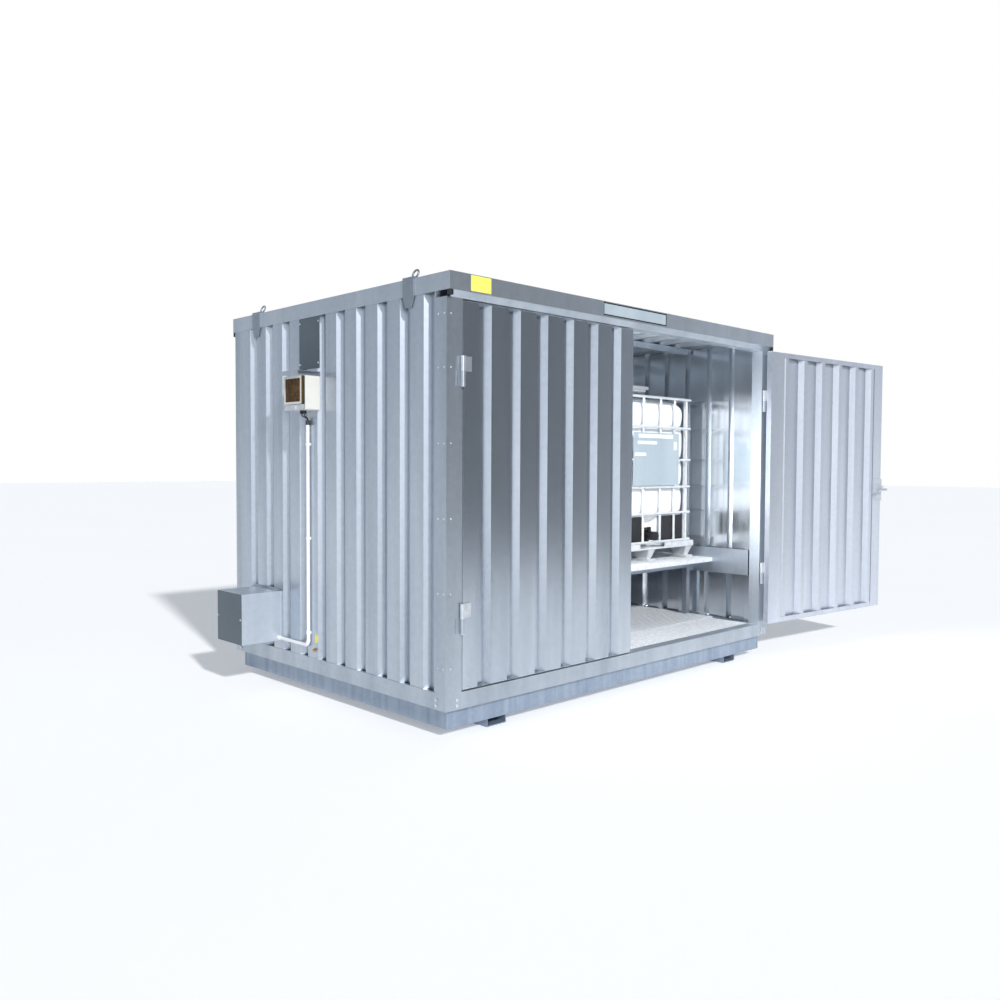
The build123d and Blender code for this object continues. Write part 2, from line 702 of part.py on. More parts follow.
# ---------------------------------------------------------------- lamp
lamp_length = 1270.0
lamp_right = 965.0
lamp_top = 1936.0
lamp_y = purlin_places[0]
lamp_width = 100.0
lamp_tray = 22.0
lens_drop = 18.0
lens_in = 4.0                             # lens inside the tray's edges
lens_end = 10.0                           # and inside its ends
lamp_round = 8.0
hanger_in = 200.0
hanger_radius = 6.0
hanger_foot = (20.0, 4.0)                 # radius and height
with BuildPart() as lamp_housing:
    block(lamp_right - lamp_length, lamp_right, lamp_y - lamp_width / 2, lamp_y + lamp_width / 2,
          lamp_top - lamp_tray, lamp_top)
    fillet(lamp_housing.edges().filter_by(Axis.X).group_by(Axis.Z)[-1], radius=lamp_round)

with BuildPart() as lamp_lens:
    with BuildSketch(Plane(origin=(lamp_right - lamp_length + lens_end, lamp_y, lamp_top - lamp_tray),
                           x_dir=(0, 1, 0), z_dir=(1, 0, 0))) as section:
        with BuildLine():
            Polyline((lamp_width / 2 - lens_in, 0), (-lamp_width / 2 + lens_in, 0),
                     (-lamp_width / 4, -lens_drop), (lamp_width / 4, -lens_drop), close=True)
        make_face()
        fillet(section.vertices().group_by(Axis.Z)[0], radius=lamp_round)
    extrude(section.sketch, amount=lamp_length - 2 * lens_end)
save(lamp_lens.part, "lamp_lens")

with BuildPart() as lamp_hangers:
    for x in (lamp_right - lamp_length + hanger_in, lamp_right - hanger_in):
        rod((x, lamp_y, lamp_top), (x, lamp_y, wall_top - purlin_height), hanger_radius)
        rod((x, lamp_y, lamp_top), (x, lamp_y, lamp_top + hanger_foot[1]), hanger_foot[0])
save_group([lamp_housing, lamp_hangers], "lamp_housing")

# ---------------------------------------------------------------- vent hood on the left wall
hood_face = -wall_face - hood_depth
hood_y0 = y_front + hood_near
hood_y1 = hood_y0 + hood_width
hood_top = hood_bottom + hood_height
cover_thick = 2.0
hood_screw_in = 8.0
hood_screw_head = (6.0, 4.0)              # radius and height
with BuildPart() as hood_lid:
    block(hood_face, -wall_face, hood_y0, hood_y1, hood_top - sheet, hood_top)

with BuildPart() as hood_sides:
    for y in (hood_y0, hood_y1 - sheet):
        block(hood_face, -wall_face, y, y + sheet, hood_bottom, hood_top - sheet)

with BuildPart() as vent_cover:
    block(hood_face - cover_thick, hood_face, hood_y0, hood_y1, hood_bottom, hood_top)

with BuildPart() as vent_screws:
    for y in (hood_y0 + hood_screw_in, hood_y1 - hood_screw_in):
        x = hood_face - cover_thick
        rod((x, y, fan_centre_z), (x - hood_screw_head[1], y, fan_centre_z), hood_screw_head[0])

mesh_bar = 3.0
mesh_rim = 10.0
mesh_cell = 22.0
mesh_rise = 6.0                           # above the lower edge of the hood
mesh_x = (hood_face + sheet, -wall_face - sheet)
mesh_y = (hood_y0 + sheet, hood_y1 - sheet)
mesh_z = (hood_bottom + mesh_rise, hood_bottom + mesh_rise + mesh_bar)
mesh_columns = int((mesh_x[1] - mesh_x[0] - 2 * mesh_rim) / mesh_cell)
mesh_rows = int((mesh_y[1] - mesh_y[0] - 2 * mesh_rim) / mesh_cell)
with BuildPart() as vent_mesh:
    block(*mesh_x, *mesh_y, *mesh_z)
    with Locations((sum(mesh_x) / 2, sum(mesh_y) / 2, sum(mesh_z) / 2)):
        with GridLocations(mesh_cell, mesh_cell, mesh_columns, mesh_rows):
            Box(mesh_cell - mesh_bar, mesh_cell - mesh_bar, 2 * mesh_bar, mode=Mode.SUBTRACT)
save(vent_mesh.part, "vent_mesh")

# square duct round the fan: side plates, top and bottom plates, and the flange on the wall
duct_length = 60.0
duct_flange = 15.0
duct_out = fan_radius + sheet
flange_face = -wall_face - sheet
with BuildPart() as duct_sides:
    for way in (-1, 1):
        block(-wall_face - duct_length, flange_face, fan_centre_y + way * fan_radius,
              fan_centre_y + way * duct_out, fan_centre_z - duct_out, fan_centre_z + duct_out)

with BuildPart() as duct_ends:
    for way in (-1, 1):
        block(-wall_face - duct_length, flange_face, fan_centre_y - fan_radius, fan_centre_y + fan_radius,
              fan_centre_z + way * fan_radius, fan_centre_z + way * duct_out)

with BuildPart() as duct_flanges:
    near_flange = (hood_y0 + sheet, fan_centre_y - fan_radius)
    far_flange = (fan_centre_y + fan_radius, hood_y1 - sheet)
    for y0, y1 in (near_flange, far_flange):
        block(flange_face, -wall_face, y0, y1, fan_centre_z - fan_radius - duct_flange,
              fan_centre_z + fan_radius + duct_flange)

with BuildPart() as duct_end_flanges:
    for way in (-1, 1):
        block(flange_face, -wall_face, fan_centre_y - fan_radius, fan_centre_y + fan_radius,
              fan_centre_z + way * fan_radius, fan_centre_z + way * (fan_radius + duct_flange))
save_group([hood_lid, hood_sides, duct_sides, duct_ends, duct_flanges, duct_end_flanges], "vent_hood")

motor_radius = 42.0
motor_length = 80.0
motor_front = -wall_face - duct_length - 8.0
motor_bar_in = 10.0                       # carrier bar inside the motor's ends
motor_bar_half = 4.0
shaft_radius = 6.0
shaft_end = 4.0                           # shaft beyond the hub
hub_radius = 32.0
hub_length = 30.0
hub_front = motor_front + 12.0
with BuildPart() as fan_motor:
    rod((motor_front, fan_centre_y, fan_centre_z), (motor_front - motor_length, fan_centre_y, fan_centre_z),
        motor_radius)
    block(motor_front - motor_length + motor_bar_in, motor_front - motor_bar_in, hood_y0 + sheet,
          hood_y1 - sheet, fan_centre_z - motor_bar_half, fan_centre_z + motor_bar_half)
    rod((motor_front, fan_centre_y, fan_centre_z),
        (hub_front + hub_length + shaft_end, fan_centre_y, fan_centre_z), shaft_radius)
save(fan_motor.part, "fan_motor")

blade_count = 6
blade_pitch = 35.0
blade_width = 34.0
blade_thick = 3.0
blade_tip_gap = 9.0
blade_root_sink = 3.0                     # blade into the hub
blade_length = fan_radius - blade_tip_gap - hub_radius + blade_root_sink
with BuildPart() as fan_rotor:
    hub_plane = Plane(origin=(hub_front, fan_centre_y, fan_centre_z), x_dir=(0, 1, 0), z_dir=(1, 0, 0))
    with BuildSketch(hub_plane) as section:
        Circle(hub_radius)
    extrude(section.sketch, amount=hub_length)
    with Locations(hub_plane):
        with PolarLocations(hub_radius - blade_root_sink + blade_length / 2, blade_count):
            with Locations(Location((0, 0, hub_length / 2), (blade_pitch, 0, 0))):
                Box(blade_length, blade_width, blade_thick)
    rod((hub_front - 1, fan_centre_y, fan_centre_z), (hub_front + hub_length + 1, fan_centre_y, fan_centre_z),
        shaft_radius + pin_clearance, mode=Mode.SUBTRACT)
save(fan_rotor.part, "fan_rotor")

drip_depth = 22.0
drip_rise = 12.0
with BuildPart() as hood_flashing:
    slope = [(-wall_face, hood_top + drip_rise + sheet), (-wall_face, hood_top + drip_rise),
             (-wall_face - drip_depth, hood_top), (-wall_face - drip_depth - sheet, hood_top),
             (-wall_face - drip_depth - sheet, hood_top + sheet)]
    with BuildSketch(Plane(origin=(0, hood_y1, 0), x_dir=(1, 0, 0), z_dir=(0, -1, 0))) as section:
        with BuildLine():
            Polyline(*slope, close=True)
        make_face()
    extrude(section.sketch, amount=hood_width)

# ---------------------------------------------------------------- blanking plate and rain hood
plate_width = 212.0
plate_bottom = 1915.0
screw_in = 10.0
screw_head = (6.0, 3.0)                   # radius and height
with BuildPart() as blanking_plate:
    block(-wall_face - sheet, -wall_face, y_front + box_near, y_front + box_near + plate_width,
          plate_bottom, fascia_bottom)
save_group([vent_cover, blanking_plate], "cover_plates")

with BuildPart() as plate_screws:
    for y in (y_front + box_near + screw_in, y_front + box_near + plate_width - screw_in):
        for z in (plate_bottom + 3 * screw_in, fascia_bottom - 3 * screw_in):
            rod((-wall_face - sheet, y, z), (-wall_face - sheet - screw_head[1], y, z), screw_head[0])
save_group([base_bolts, vent_screws, plate_screws], "outer_bolts")

rain_reach = 150.0
rain_lip = 25.0
rain_side = 5.0                           # past the control box's near side
rain_width = 215.0
rain_top = box_bottom + box_height + rain_lip
with BuildPart() as rain_cover:
    y0 = y_front + box_near - rain_side
    y1 = y0 + rain_width
    block(-wall_face - rain_reach, -wall_face, y0, y1, rain_top - sheet, rain_top)
    block(-wall_face - rain_reach, -wall_face - rain_reach + sheet, y0, y1, rain_top - rain_lip, rain_top)
    block(-wall_face - sheet, -wall_face, y0, y1, rain_top - rain_lip, rain_top)
save_group([hood_flashing, rain_cover], "wall_flashings")

# ---------------------------------------------------------------- control box
box_y0 = y_front + box_near
box_y1 = box_y0 + box_width
box_z1 = box_bottom + box_height
box_wall = 4.0
box_face = -wall_face - box_depth
box_round = 8.0
cover_step = 18.0
with BuildPart() as control_housing:
    block(box_face + cover_step, -wall_face, box_y0, box_y1, box_bottom, box_z1)
    fillet(control_housing.edges().filter_by(Axis.X), radius=box_round)
    block(box_face + cover_step - 1, -wall_face - box_wall, box_y0 + box_wall, box_y1 - box_wall,
          box_bottom + box_wall, box_z1 - box_wall, mode=Mode.SUBTRACT)
save(control_housing.part, "control_housing")

panel_back = 12.0
panel_thick = 3.0
panel_face = box_face + cover_step + panel_back
gear_side = 30.0
gear_below = 50.0
gear_above = 40.0
with BuildPart() as control_panel:
    block(panel_face, panel_face + panel_thick, box_y0 + box_wall,
          box_y1 - box_wall, box_bottom + box_wall, box_z1 - box_wall)

with BuildPart() as control_gear:
    block(panel_face + panel_thick, -wall_face - box_wall, box_y0 + gear_side, box_y1 - gear_side,
          box_bottom + gear_below, box_z1 - gear_above)
save_group([control_panel, control_gear], "control_panel")

knob_radius = 14.0
knob_depth = 16.0
knob_grip = (8.0, 22.0)                   # near and far face of the grip, ahead of the back
knob_grip_half = 4.0
knob_y = (box_y0 + box_y1) / 2
knob_z = box_bottom + 92.0
with BuildPart() as control_knob:
    knob_back = panel_face - running_gap
    rod((knob_back, knob_y, knob_z), (knob_back - knob_depth, knob_y, knob_z), knob_radius)
    block(knob_back - knob_grip[1], knob_back - knob_grip[0], knob_y - knob_grip_half,
          knob_y + knob_grip_half, knob_z - knob_radius, knob_z + knob_radius)
save(control_knob.part, "control_knob")

cover_bottom = box_bottom + 34.0
cover_side = 10.0
cover_top = box_z1 - 3.0
with BuildPart() as control_cover:
    block(box_face, box_face + cover_step - running_gap, box_y0 + cover_side, box_y1 - cover_side,
          cover_bottom, cover_top)
    block(box_face + box_wall, box_face + cover_step, box_y0 + cover_side + box_wall,
          box_y1 - cover_side - box_wall, cover_bottom + box_wall, cover_top - box_wall,
          mode=Mode.SUBTRACT)
save(control_cover.part, "control_cover")

latch_bar_in = (4.0, 6.0, 2.0)            # behind the cover's face, from the sides, below the cover
latch_tab = (16.0, 44.0, 26.0)
latch_tab_rise = 18.0
with BuildPart() as control_latch:
    block(box_face + latch_bar_in[0], box_face + cover_step, box_y0 + latch_bar_in[1],
          box_y1 - latch_bar_in[1], box_bottom, cover_bottom - latch_bar_in[2])
    with Locations((box_face + 6, knob_y, box_bottom + latch_tab_rise)):
        Box(*latch_tab)
save(control_latch.part, "control_latch")

gland_radius = 11.0
gland_drop = 18.0
cable_radius = 2.9
cable_bend = 10.0
cable_end = 12.0                          # straight length at each end
cable_shift = 3.3                         # either side of the conduit's middle
gland_out = 62.0
gland_places = ((-wall_face - gland_out, box_y0 + 62.0), (-wall_face - gland_out, box_y0 + 90.0))
with BuildPart() as cable_glands:
    for x, y in gland_places:
        rod((x, y, box_bottom), (x, y, box_bottom - gland_drop), gland_radius)

conduit_off_wall = 4.0
conduit_x = -wall_face - conduit_radius - conduit_off_wall
conduit_y = y_front + conduit_from_front
conduit_top = 1592.0
sleeve_height = 26.0
sleeve_wall = 2.0
with BuildPart() as control_cables:
    for (x, y), shift in zip(gland_places, (-cable_shift, cable_shift)):
        start = Vector(x, y, box_bottom - gland_drop)
        end = Vector(conduit_x, conduit_y + shift, conduit_top + sleeve_height)
        knee = Vector(x, y, start.Z - cable_end)
        hip = Vector(end.X, end.Y, end.Z + cable_end)
        with BuildLine() as route:
            FilletPolyline(start, knee, hip, end, radius=cable_bend)
        with BuildSketch(Plane(origin=start, z_dir=(0, 0, -1))) as section:
            Circle(cable_radius)
        sweep(section.sketch, path=route.wires()[0])
save(control_cables.part, "control_cables")

elbow_radius = 34.0
with BuildPart() as conduit_sleeve:
    rod((conduit_x, conduit_y, conduit_top), (conduit_x, conduit_y, conduit_top + sleeve_height),
        conduit_radius + sleeve_wall)
save_group([cable_glands, conduit_sleeve], "cable_glands")

with BuildPart() as conduit_riser:
    rod((conduit_x, conduit_y, conduit_low + elbow_radius), (conduit_x, conduit_y, conduit_top),
        conduit_radius)

with BuildPart() as conduit_elbow:
    with BuildLine() as bend:
        ThreePointArc((conduit_x, conduit_y, conduit_low + elbow_radius),
                      (conduit_x, conduit_y + elbow_radius * (1 - cos(radians(45))),
                       conduit_low + elbow_radius * (1 - sin(radians(45)))),
                      (conduit_x, conduit_y + elbow_radius, conduit_low))
    with BuildSketch(Plane(origin=bend.line @ 0, z_dir=(0, 0, -1))) as section:
        Circle(conduit_radius + sleeve_wall)
    sweep(section.sketch, path=bend.wires()[0])

nipple_length = 14.0
nipple_wall = 4.0
with BuildPart() as conduit_run:
    rod((conduit_x, conduit_y + elbow_radius, conduit_low),
        (conduit_x, hood_y0 - nipple_length, conduit_low), conduit_radius)
    rod((conduit_x, hood_y0 - nipple_length, conduit_low), (conduit_x, hood_y0, conduit_low),
        conduit_radius + nipple_wall)

clip_width = 16.0
clip_wall = 3.0
clip_foot_half = 8.0
clip_heights = (382.0, 934.0, 1480.0)
with BuildPart() as conduit_clips:
    for z in clip_heights:
        rod((conduit_x, conduit_y, z - clip_width / 2), (conduit_x, conduit_y, z + clip_width / 2),
            conduit_radius + clip_wall)
        block(-wall_face, conduit_x, conduit_y - clip_foot_half, conduit_y + clip_foot_half,
              z - clip_width / 2, z + clip_width / 2)
        rod((conduit_x, conduit_y, z - clip_width), (conduit_x, conduit_y, z + clip_width),
            conduit_radius + pin_clearance, mode=Mode.SUBTRACT)
save_group([conduit_riser, conduit_elbow, conduit_run, conduit_clips], "conduit")

# ---------------------------------------------------------------- earth point, labels and name plate
earth_y = y_front + 1163.0
earth_z = 285.0
earth_head = (11.0, 8.0)                  # corner radius and height
earth_stud = (6.0, 12.0)                  # M12, radius and length
with BuildPart() as earth_bolt:
    stud_foot = -wall_face - earth_head[1]
    with BuildSketch(Plane(origin=(-wall_face, earth_y, earth_z), z_dir=(-1, 0, 0))) as head:
        RegularPolygon(earth_head[0], 6)
    extrude(head.sketch, amount=earth_head[1])
    rod((stud_foot, earth_y, earth_z), (stud_foot - earth_stud[1], earth_y, earth_z), earth_stud[0])
save(earth_bolt.part, "earth_bolt")

label_thick = 1.0
label_half = (17.0, 26.0)                 # oval label by the earth bolt
label_up = 67.0
label_aside = 11.0
with BuildPart() as earth_label:
    label_place = (-wall_face, earth_y - label_aside, earth_z + label_up)
    with BuildSketch(Plane(origin=label_place, x_dir=(0, -1, 0), z_dir=(-1, 0, 0))) as oval:
        Ellipse(*label_half)
    extrude(oval.sketch, amount=label_thick)

sticker_ends = (136.0, 272.0)             # from the left end of the roof edge
sticker_edges = (7.0, 4.0)                # from the lower and upper edge of the fascia
with BuildPart() as fascia_label:
    block(x_left + sticker_ends[0], x_left + sticker_ends[1], roof_front - label_thick, roof_front,
          fascia_bottom + sticker_edges[0], height - sticker_edges[1])
save_group([fascia_label, earth_label], "yellow_labels")

name_ends = (1150.0, 1755.0)
name_edges = (8.0, 6.0)
name_thick = 2.0
with BuildPart() as name_plate:
    block(x_left + name_ends[0], x_left + name_ends[1], roof_front - name_thick, roof_front,
          fascia_bottom + name_edges[0], height - name_edges[1])
save(name_plate.part, "name_plate")

# ---------------------------------------------------------------- intermediate bulk container
ibc_x0 = ibc_centre_x - ibc_width / 2
ibc_x1 = ibc_centre_x + ibc_width / 2
ibc_slack = platform_y1 - platform_y0 - ibc_length
ibc_y0 = platform_y0 + ibc_slack * ibc_gaps[0] / sum(ibc_gaps)
ibc_y1 = ibc_y0 + ibc_length
ibc_z0 = platform_top
pallet_height = 130.0
deck = 12.0
cage_tube = 9.0
cage_corner = 60.0
bottle_gap = 20.0
bottle_corner = 110.0
tray_height = 30.0
foot_length = 150.0
foot_taper = 0.6                          # lower end of a foot, as a share of its upper end
skid_half = 40.0
skid_thick = 18.0
skid_end = 10.0                           # inside the ends of the tray
notch_half = 150.0                        # opening of the tray's rim at the valve
cage_rings = (0.0, 202.0, 391.0, 588.0, 820.0, 1032.0)
cage_z0 = ibc_z0 + pallet_height + cage_tube
front_uprights = (-420.0, -270.0, -100.0, 100.0, 270.0, 420.0)
side_uprights = (-520.0, -347.0, -173.0, 0.0, 173.0, 347.0, 520.0)
ibc_mid_y = (ibc_y0 + ibc_y1) / 2
tray_rim = 1.5 * cage_tube                # the cage's base ring stands on it

with BuildPart() as ibc_tray:
    block(ibc_x0, ibc_x1, ibc_y0, ibc_y1, ibc_z0 + pallet_height - deck - tray_height,
          ibc_z0 + pallet_height)
    block(ibc_x0 + tray_rim, ibc_x1 - tray_rim, ibc_y0 + tray_rim, ibc_y1 - tray_rim,
          ibc_z0 + pallet_height - tray_height, ibc_z0 + pallet_height + 1, mode=Mode.SUBTRACT)
    block(ibc_centre_x - notch_half, ibc_centre_x + notch_half, ibc_y0 - 1, ibc_y0 + tray_rim + 1,
          ibc_z0 + pallet_height - tray_height, ibc_z0 + pallet_height + 1, mode=Mode.SUBTRACT)

deck_under = ibc_z0 + pallet_height - deck - tray_height
foot_rows = (ibc_x0 + skid_half, ibc_centre_x, ibc_x1 - skid_half)
foot_from_mid = ibc_length / 2 - skid_end - foot_length / 2
with BuildPart() as ibc_skids:
    for x in foot_rows:
        block(x - skid_half, x + skid_half, ibc_y0 + skid_end, ibc_y1 - skid_end,
              ibc_z0, ibc_z0 + skid_thick)

with BuildPart() as ibc_feet:
    for x in foot_rows:
        for y in (ibc_mid_y - foot_from_mid, ibc_mid_y, ibc_mid_y + foot_from_mid):
            with BuildSketch(Plane.XY.offset(ibc_z0 + skid_thick)) as low_face:
                with Locations((x, y)):
                    Rectangle(2 * skid_half * foot_taper, foot_length * foot_taper)
            with BuildSketch(Plane.XY.offset(deck_under)) as high_face:
                with Locations((x, y)):
                    Rectangle(2 * skid_half, foot_length)
            loft(low_face.sketch + high_face.sketch)
save_group([ibc_tray, ibc_skids, ibc_feet], "ibc_pallet")

bottle_top_round = 85.0
bottle_under_ring = 6.0                   # top of the bottle below the highest ring
neck_radius = 72.0
neck_height = 22.0
niche_half = 95.0                         # recess for the valve
niche_depth = 70.0
niche_above = 90.0                        # over the valve's middle
spout_radius = 38.0
spout_end = 34.0                          # valve seat, behind the bottle's front
valve_above = 184.0                       # over the foot of the IBC
with BuildPart() as ibc_bottle:
    inset = 2 * cage_tube + bottle_gap
    with BuildSketch(Plane.XY.offset(ibc_z0 + pallet_height - tray_height)):
        with Locations((ibc_centre_x, ibc_mid_y)):
            RectangleRounded(ibc_width - 2 * inset, ibc_length - 2 * inset, bottle_corner)
    extrude(amount=cage_rings[-1] + tray_height - bottle_under_ring)
    fillet(ibc_bottle.faces().sort_by(Axis.Z)[-1].edges(), radius=bottle_top_round)
    bottle_top = ibc_bottle.part.bounding_box().max.Z
    neck_top = bottle_top + neck_height
    rod((ibc_centre_x, ibc_mid_y, bottle_top - 2), (ibc_centre_x, ibc_mid_y, neck_top), neck_radius)
    valve_y = ibc_y0 + inset
    valve_z = ibc_z0 + valve_above
    block(ibc_centre_x - niche_half, ibc_centre_x + niche_half, valve_y - 1, valve_y + niche_depth,
          ibc_z0 + pallet_height - tray_height - 1, valve_z + niche_above, mode=Mode.SUBTRACT)
    rod((ibc_centre_x, valve_y + niche_depth + 1, valve_z), (ibc_centre_x, valve_y + spout_end, valve_z),
        spout_radius)
save(ibc_bottle.part, "ibc_bottle")

weld_sink = 1.2                           # uprights behind the rings, in tube radii
ring_x = ibc_width / 2 - cage_tube
ring_y = ibc_length / 2 - cage_tube
run_x = ring_x - cage_corner
run_y = ring_y - cage_corner
ring_heights = [cage_z0 + rise for rise in cage_rings]
cage_sides = []
for side in (-1, 1):
    with BuildPart() as cage_end:
        y = ibc_mid_y + side * ring_y
        for z in ring_heights:
            rod((ibc_centre_x - run_x, y, z), (ibc_centre_x + run_x, y, z), cage_tube)
        for x in front_uprights:
            x_at = ibc_centre_x + x
            y_at = y - side * weld_sink * cage_tube
            rod((x_at, y_at, ring_heights[0]), (x_at, y_at, ring_heights[-1]), cage_tube)
    with BuildPart() as cage_flank:
        x = ibc_centre_x + side * ring_x
        for z in ring_heights:
            rod((x, ibc_mid_y - run_y, z), (x, ibc_mid_y + run_y, z), cage_tube)
        for y in side_uprights:
            x_at = x - side * weld_sink * cage_tube
            rod((x_at, ibc_mid_y + y, ring_heights[0]), (x_at, ibc_mid_y + y, ring_heights[-1]), cage_tube)
    cage_sides += [cage_end, cage_flank]

with BuildPart() as cage_corners:
    for quarter, (way_x, way_y) in enumerate(((1, 1), (-1, 1), (-1, -1), (1, -1))):
        for z in ring_heights:
            hub = (ibc_centre_x + way_x * run_x, ibc_mid_y + way_y * run_y, z)
            with Locations(Location(hub, (0, 0, 90 * quarter))):
                Torus(cage_corner, cage_tube, major_angle=90, align=None)

top_bar_thick = 6.0
top_bar_half = 22.0
top_bar_from_mid = 260.0
bar_bolt = (8.0, 6.0)                     # corner radius and height
cage_top = cage_z0 + cage_rings[-1] + cage_tube
with BuildPart() as ibc_top_bars:
    for y in (ibc_mid_y - top_bar_from_mid, ibc_mid_y + top_bar_from_mid):
        block(ibc_x0, ibc_x1, y - top_bar_half, y + top_bar_half, cage_top, cage_top + top_bar_thick)

with BuildPart() as ibc_bar_bolts:
    for y in (ibc_mid_y - top_bar_from_mid, ibc_mid_y + top_bar_from_mid):
        for x in (ibc_x0 + cage_tube, ibc_x1 - cage_tube):
            with BuildSketch(Plane(origin=(x, y, cage_top + top_bar_thick))) as head:
                RegularPolygon(bar_bolt[0], 6)
            extrude(head.sketch, amount=bar_bolt[1])
save_group([*cage_sides, cage_corners, ibc_top_bars, ibc_bar_bolts], "ibc_cage")

cap_radius = 82.0
cap_height = 26.0
cap_grips = 12
cap_grip_radius = 7.0
cap_rib_half = 6.0
cap_rib_end = 12.0                        # rib inside the rim
cap_rib_height = 9.0
with BuildPart() as ibc_fill_cap:
    with BuildSketch(Plane(origin=(ibc_centre_x, ibc_mid_y, neck_top + running_gap))):
        Circle(cap_radius)
    extrude(amount=cap_height)
    cap_top = neck_top + cap_height
    with Locations((ibc_centre_x, ibc_mid_y, cap_top)):
        with PolarLocations(cap_radius, cap_grips):
            Cylinder(cap_grip_radius, 2 * cap_height + 2, mode=Mode.SUBTRACT)
    block(ibc_centre_x - cap_radius + cap_rib_end, ibc_centre_x + cap_radius - cap_rib_end,
          ibc_mid_y - cap_rib_half, ibc_mid_y + cap_rib_half, cap_top - 1, cap_top + cap_rib_height)
save(ibc_fill_cap.part, "ibc_fill_cap")

heel_inner = 104.0                        # heel guards from the middle of the IBC
heel_outer = ibc_width / 2 - inset - 70.0
heel_top = cage_z0 + cage_rings[1] - 20.0
heel_y = (ibc_y0 + cage_tube * (2 + weld_sink) + running_gap, valve_y - running_gap)
with BuildPart() as ibc_heel_guards:
    for way in (-1, 1):
        block(ibc_centre_x + way * heel_inner, ibc_centre_x + way * heel_outer, *heel_y, cage_z0, heel_top)
save(ibc_heel_guards.part, "ibc_heel_guards")

plate_ends = (-240.0, 295.0)              # from the middle of the IBC
plate_over_ring = 14.0
plate_under_ring = 41.0
plate_thick = 3.0
with BuildPart() as ibc_label_plate:
    block(ibc_centre_x + plate_ends[0], ibc_centre_x + plate_ends[1], ibc_y0 - plate_thick, ibc_y0,
          cage_z0 + cage_rings[2] + plate_over_ring, cage_z0 + cage_rings[4] - plate_under_ring)
save(ibc_label_plate.part, "ibc_label_plate")

valve_radius = 31.0
valve_front_in = 22.0                     # front of the valve behind the cage's face
valve_collar = (46.0, 14.0)               # radius and length
stem_radius = 16.0
stem_height = 46.0
valve_seat_y = valve_y + spout_end
valve_front = ibc_y0 + valve_front_in
collar_front = valve_seat_y - valve_collar[1]
stem_y = (collar_front + valve_front) / 2
with BuildPart() as ibc_valve_body:
    rod((ibc_centre_x, valve_seat_y, valve_z), (ibc_centre_x, collar_front, valve_z), valve_collar[0])
    rod((ibc_centre_x, collar_front, valve_z), (ibc_centre_x, valve_front, valve_z), valve_radius)
    rod((ibc_centre_x, stem_y, valve_z), (ibc_centre_x, stem_y, valve_z + stem_height), stem_radius)
save(ibc_valve_body.part, "ibc_valve_body")

valve_lever_reach = 88.0
valve_lever_half = 11.0
valve_lever_band = (4.0, 14.0)            # lower and upper face, over the hub's foot
valve_hub = (15.0, 16.0)                  # radius and height
with BuildPart() as ibc_valve_lever:
    lever_low = valve_z + stem_height + running_gap
    rod((ibc_centre_x, stem_y, lever_low), (ibc_centre_x, stem_y, lever_low + valve_hub[1]), valve_hub[0])
    block(ibc_centre_x - valve_lever_reach, ibc_centre_x, stem_y - valve_lever_half,
          stem_y + valve_lever_half, lever_low + valve_lever_band[0], lever_low + valve_lever_band[1])
save(ibc_valve_lever.part, "ibc_valve_lever")

outlet_radius = 32.0
outlet_length = 45.0
outlet_grips = 10
outlet_grip_radius = 4.0
with BuildPart() as ibc_outlet_cap:
    rod((ibc_centre_x, valve_front - running_gap, valve_z),
        (ibc_centre_x, valve_front - outlet_length, valve_z), outlet_radius)
    with Locations(Plane(origin=(ibc_centre_x, valve_front - outlet_length / 2, valve_z), z_dir=(0, 1, 0))):
        with PolarLocations(outlet_radius + outlet_grip_radius / 2, outlet_grips):
            Cylinder(outlet_grip_radius, outlet_length + 2, mode=Mode.SUBTRACT)
save(ibc_outlet_cap.part, "ibc_outlet_cap")
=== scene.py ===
import bpy
import bmesh
import json
import math
from mathutils import Matrix, Vector


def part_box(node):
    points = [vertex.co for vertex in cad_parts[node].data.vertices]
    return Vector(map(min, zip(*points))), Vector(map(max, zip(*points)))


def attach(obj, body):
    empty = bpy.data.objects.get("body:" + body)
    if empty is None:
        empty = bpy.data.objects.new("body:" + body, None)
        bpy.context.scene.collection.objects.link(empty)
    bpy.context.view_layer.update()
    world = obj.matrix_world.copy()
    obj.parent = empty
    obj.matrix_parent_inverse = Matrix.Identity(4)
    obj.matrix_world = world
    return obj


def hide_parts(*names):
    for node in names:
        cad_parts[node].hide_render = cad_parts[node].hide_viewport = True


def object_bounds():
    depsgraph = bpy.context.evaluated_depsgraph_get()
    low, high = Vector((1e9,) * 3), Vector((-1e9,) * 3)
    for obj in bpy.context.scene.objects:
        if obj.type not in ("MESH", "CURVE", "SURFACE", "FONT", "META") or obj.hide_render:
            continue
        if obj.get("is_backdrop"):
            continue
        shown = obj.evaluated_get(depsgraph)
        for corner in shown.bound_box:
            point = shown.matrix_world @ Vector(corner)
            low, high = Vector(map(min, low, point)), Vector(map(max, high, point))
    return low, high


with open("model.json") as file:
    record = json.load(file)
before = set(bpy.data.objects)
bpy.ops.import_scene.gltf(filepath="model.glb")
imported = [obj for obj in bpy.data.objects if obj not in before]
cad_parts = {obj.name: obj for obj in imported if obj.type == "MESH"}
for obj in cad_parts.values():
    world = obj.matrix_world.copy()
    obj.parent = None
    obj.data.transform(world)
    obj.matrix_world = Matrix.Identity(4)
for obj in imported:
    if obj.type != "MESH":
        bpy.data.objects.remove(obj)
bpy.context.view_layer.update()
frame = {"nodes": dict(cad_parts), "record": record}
nodes = frame["nodes"]

# ------------------------------------------------------------------ camera
CAMERA_PLACE = (-4.413, -4.402, 1.369)
CAMERA_YAW = math.radians(44.138)      # from +Y towards +X
CAMERA_PITCH = math.radians(-2.245)
CAMERA_ROLL = math.radians(0.267)
SENSOR = 36.0
LENS = 32.74
FAR_END = 200.0

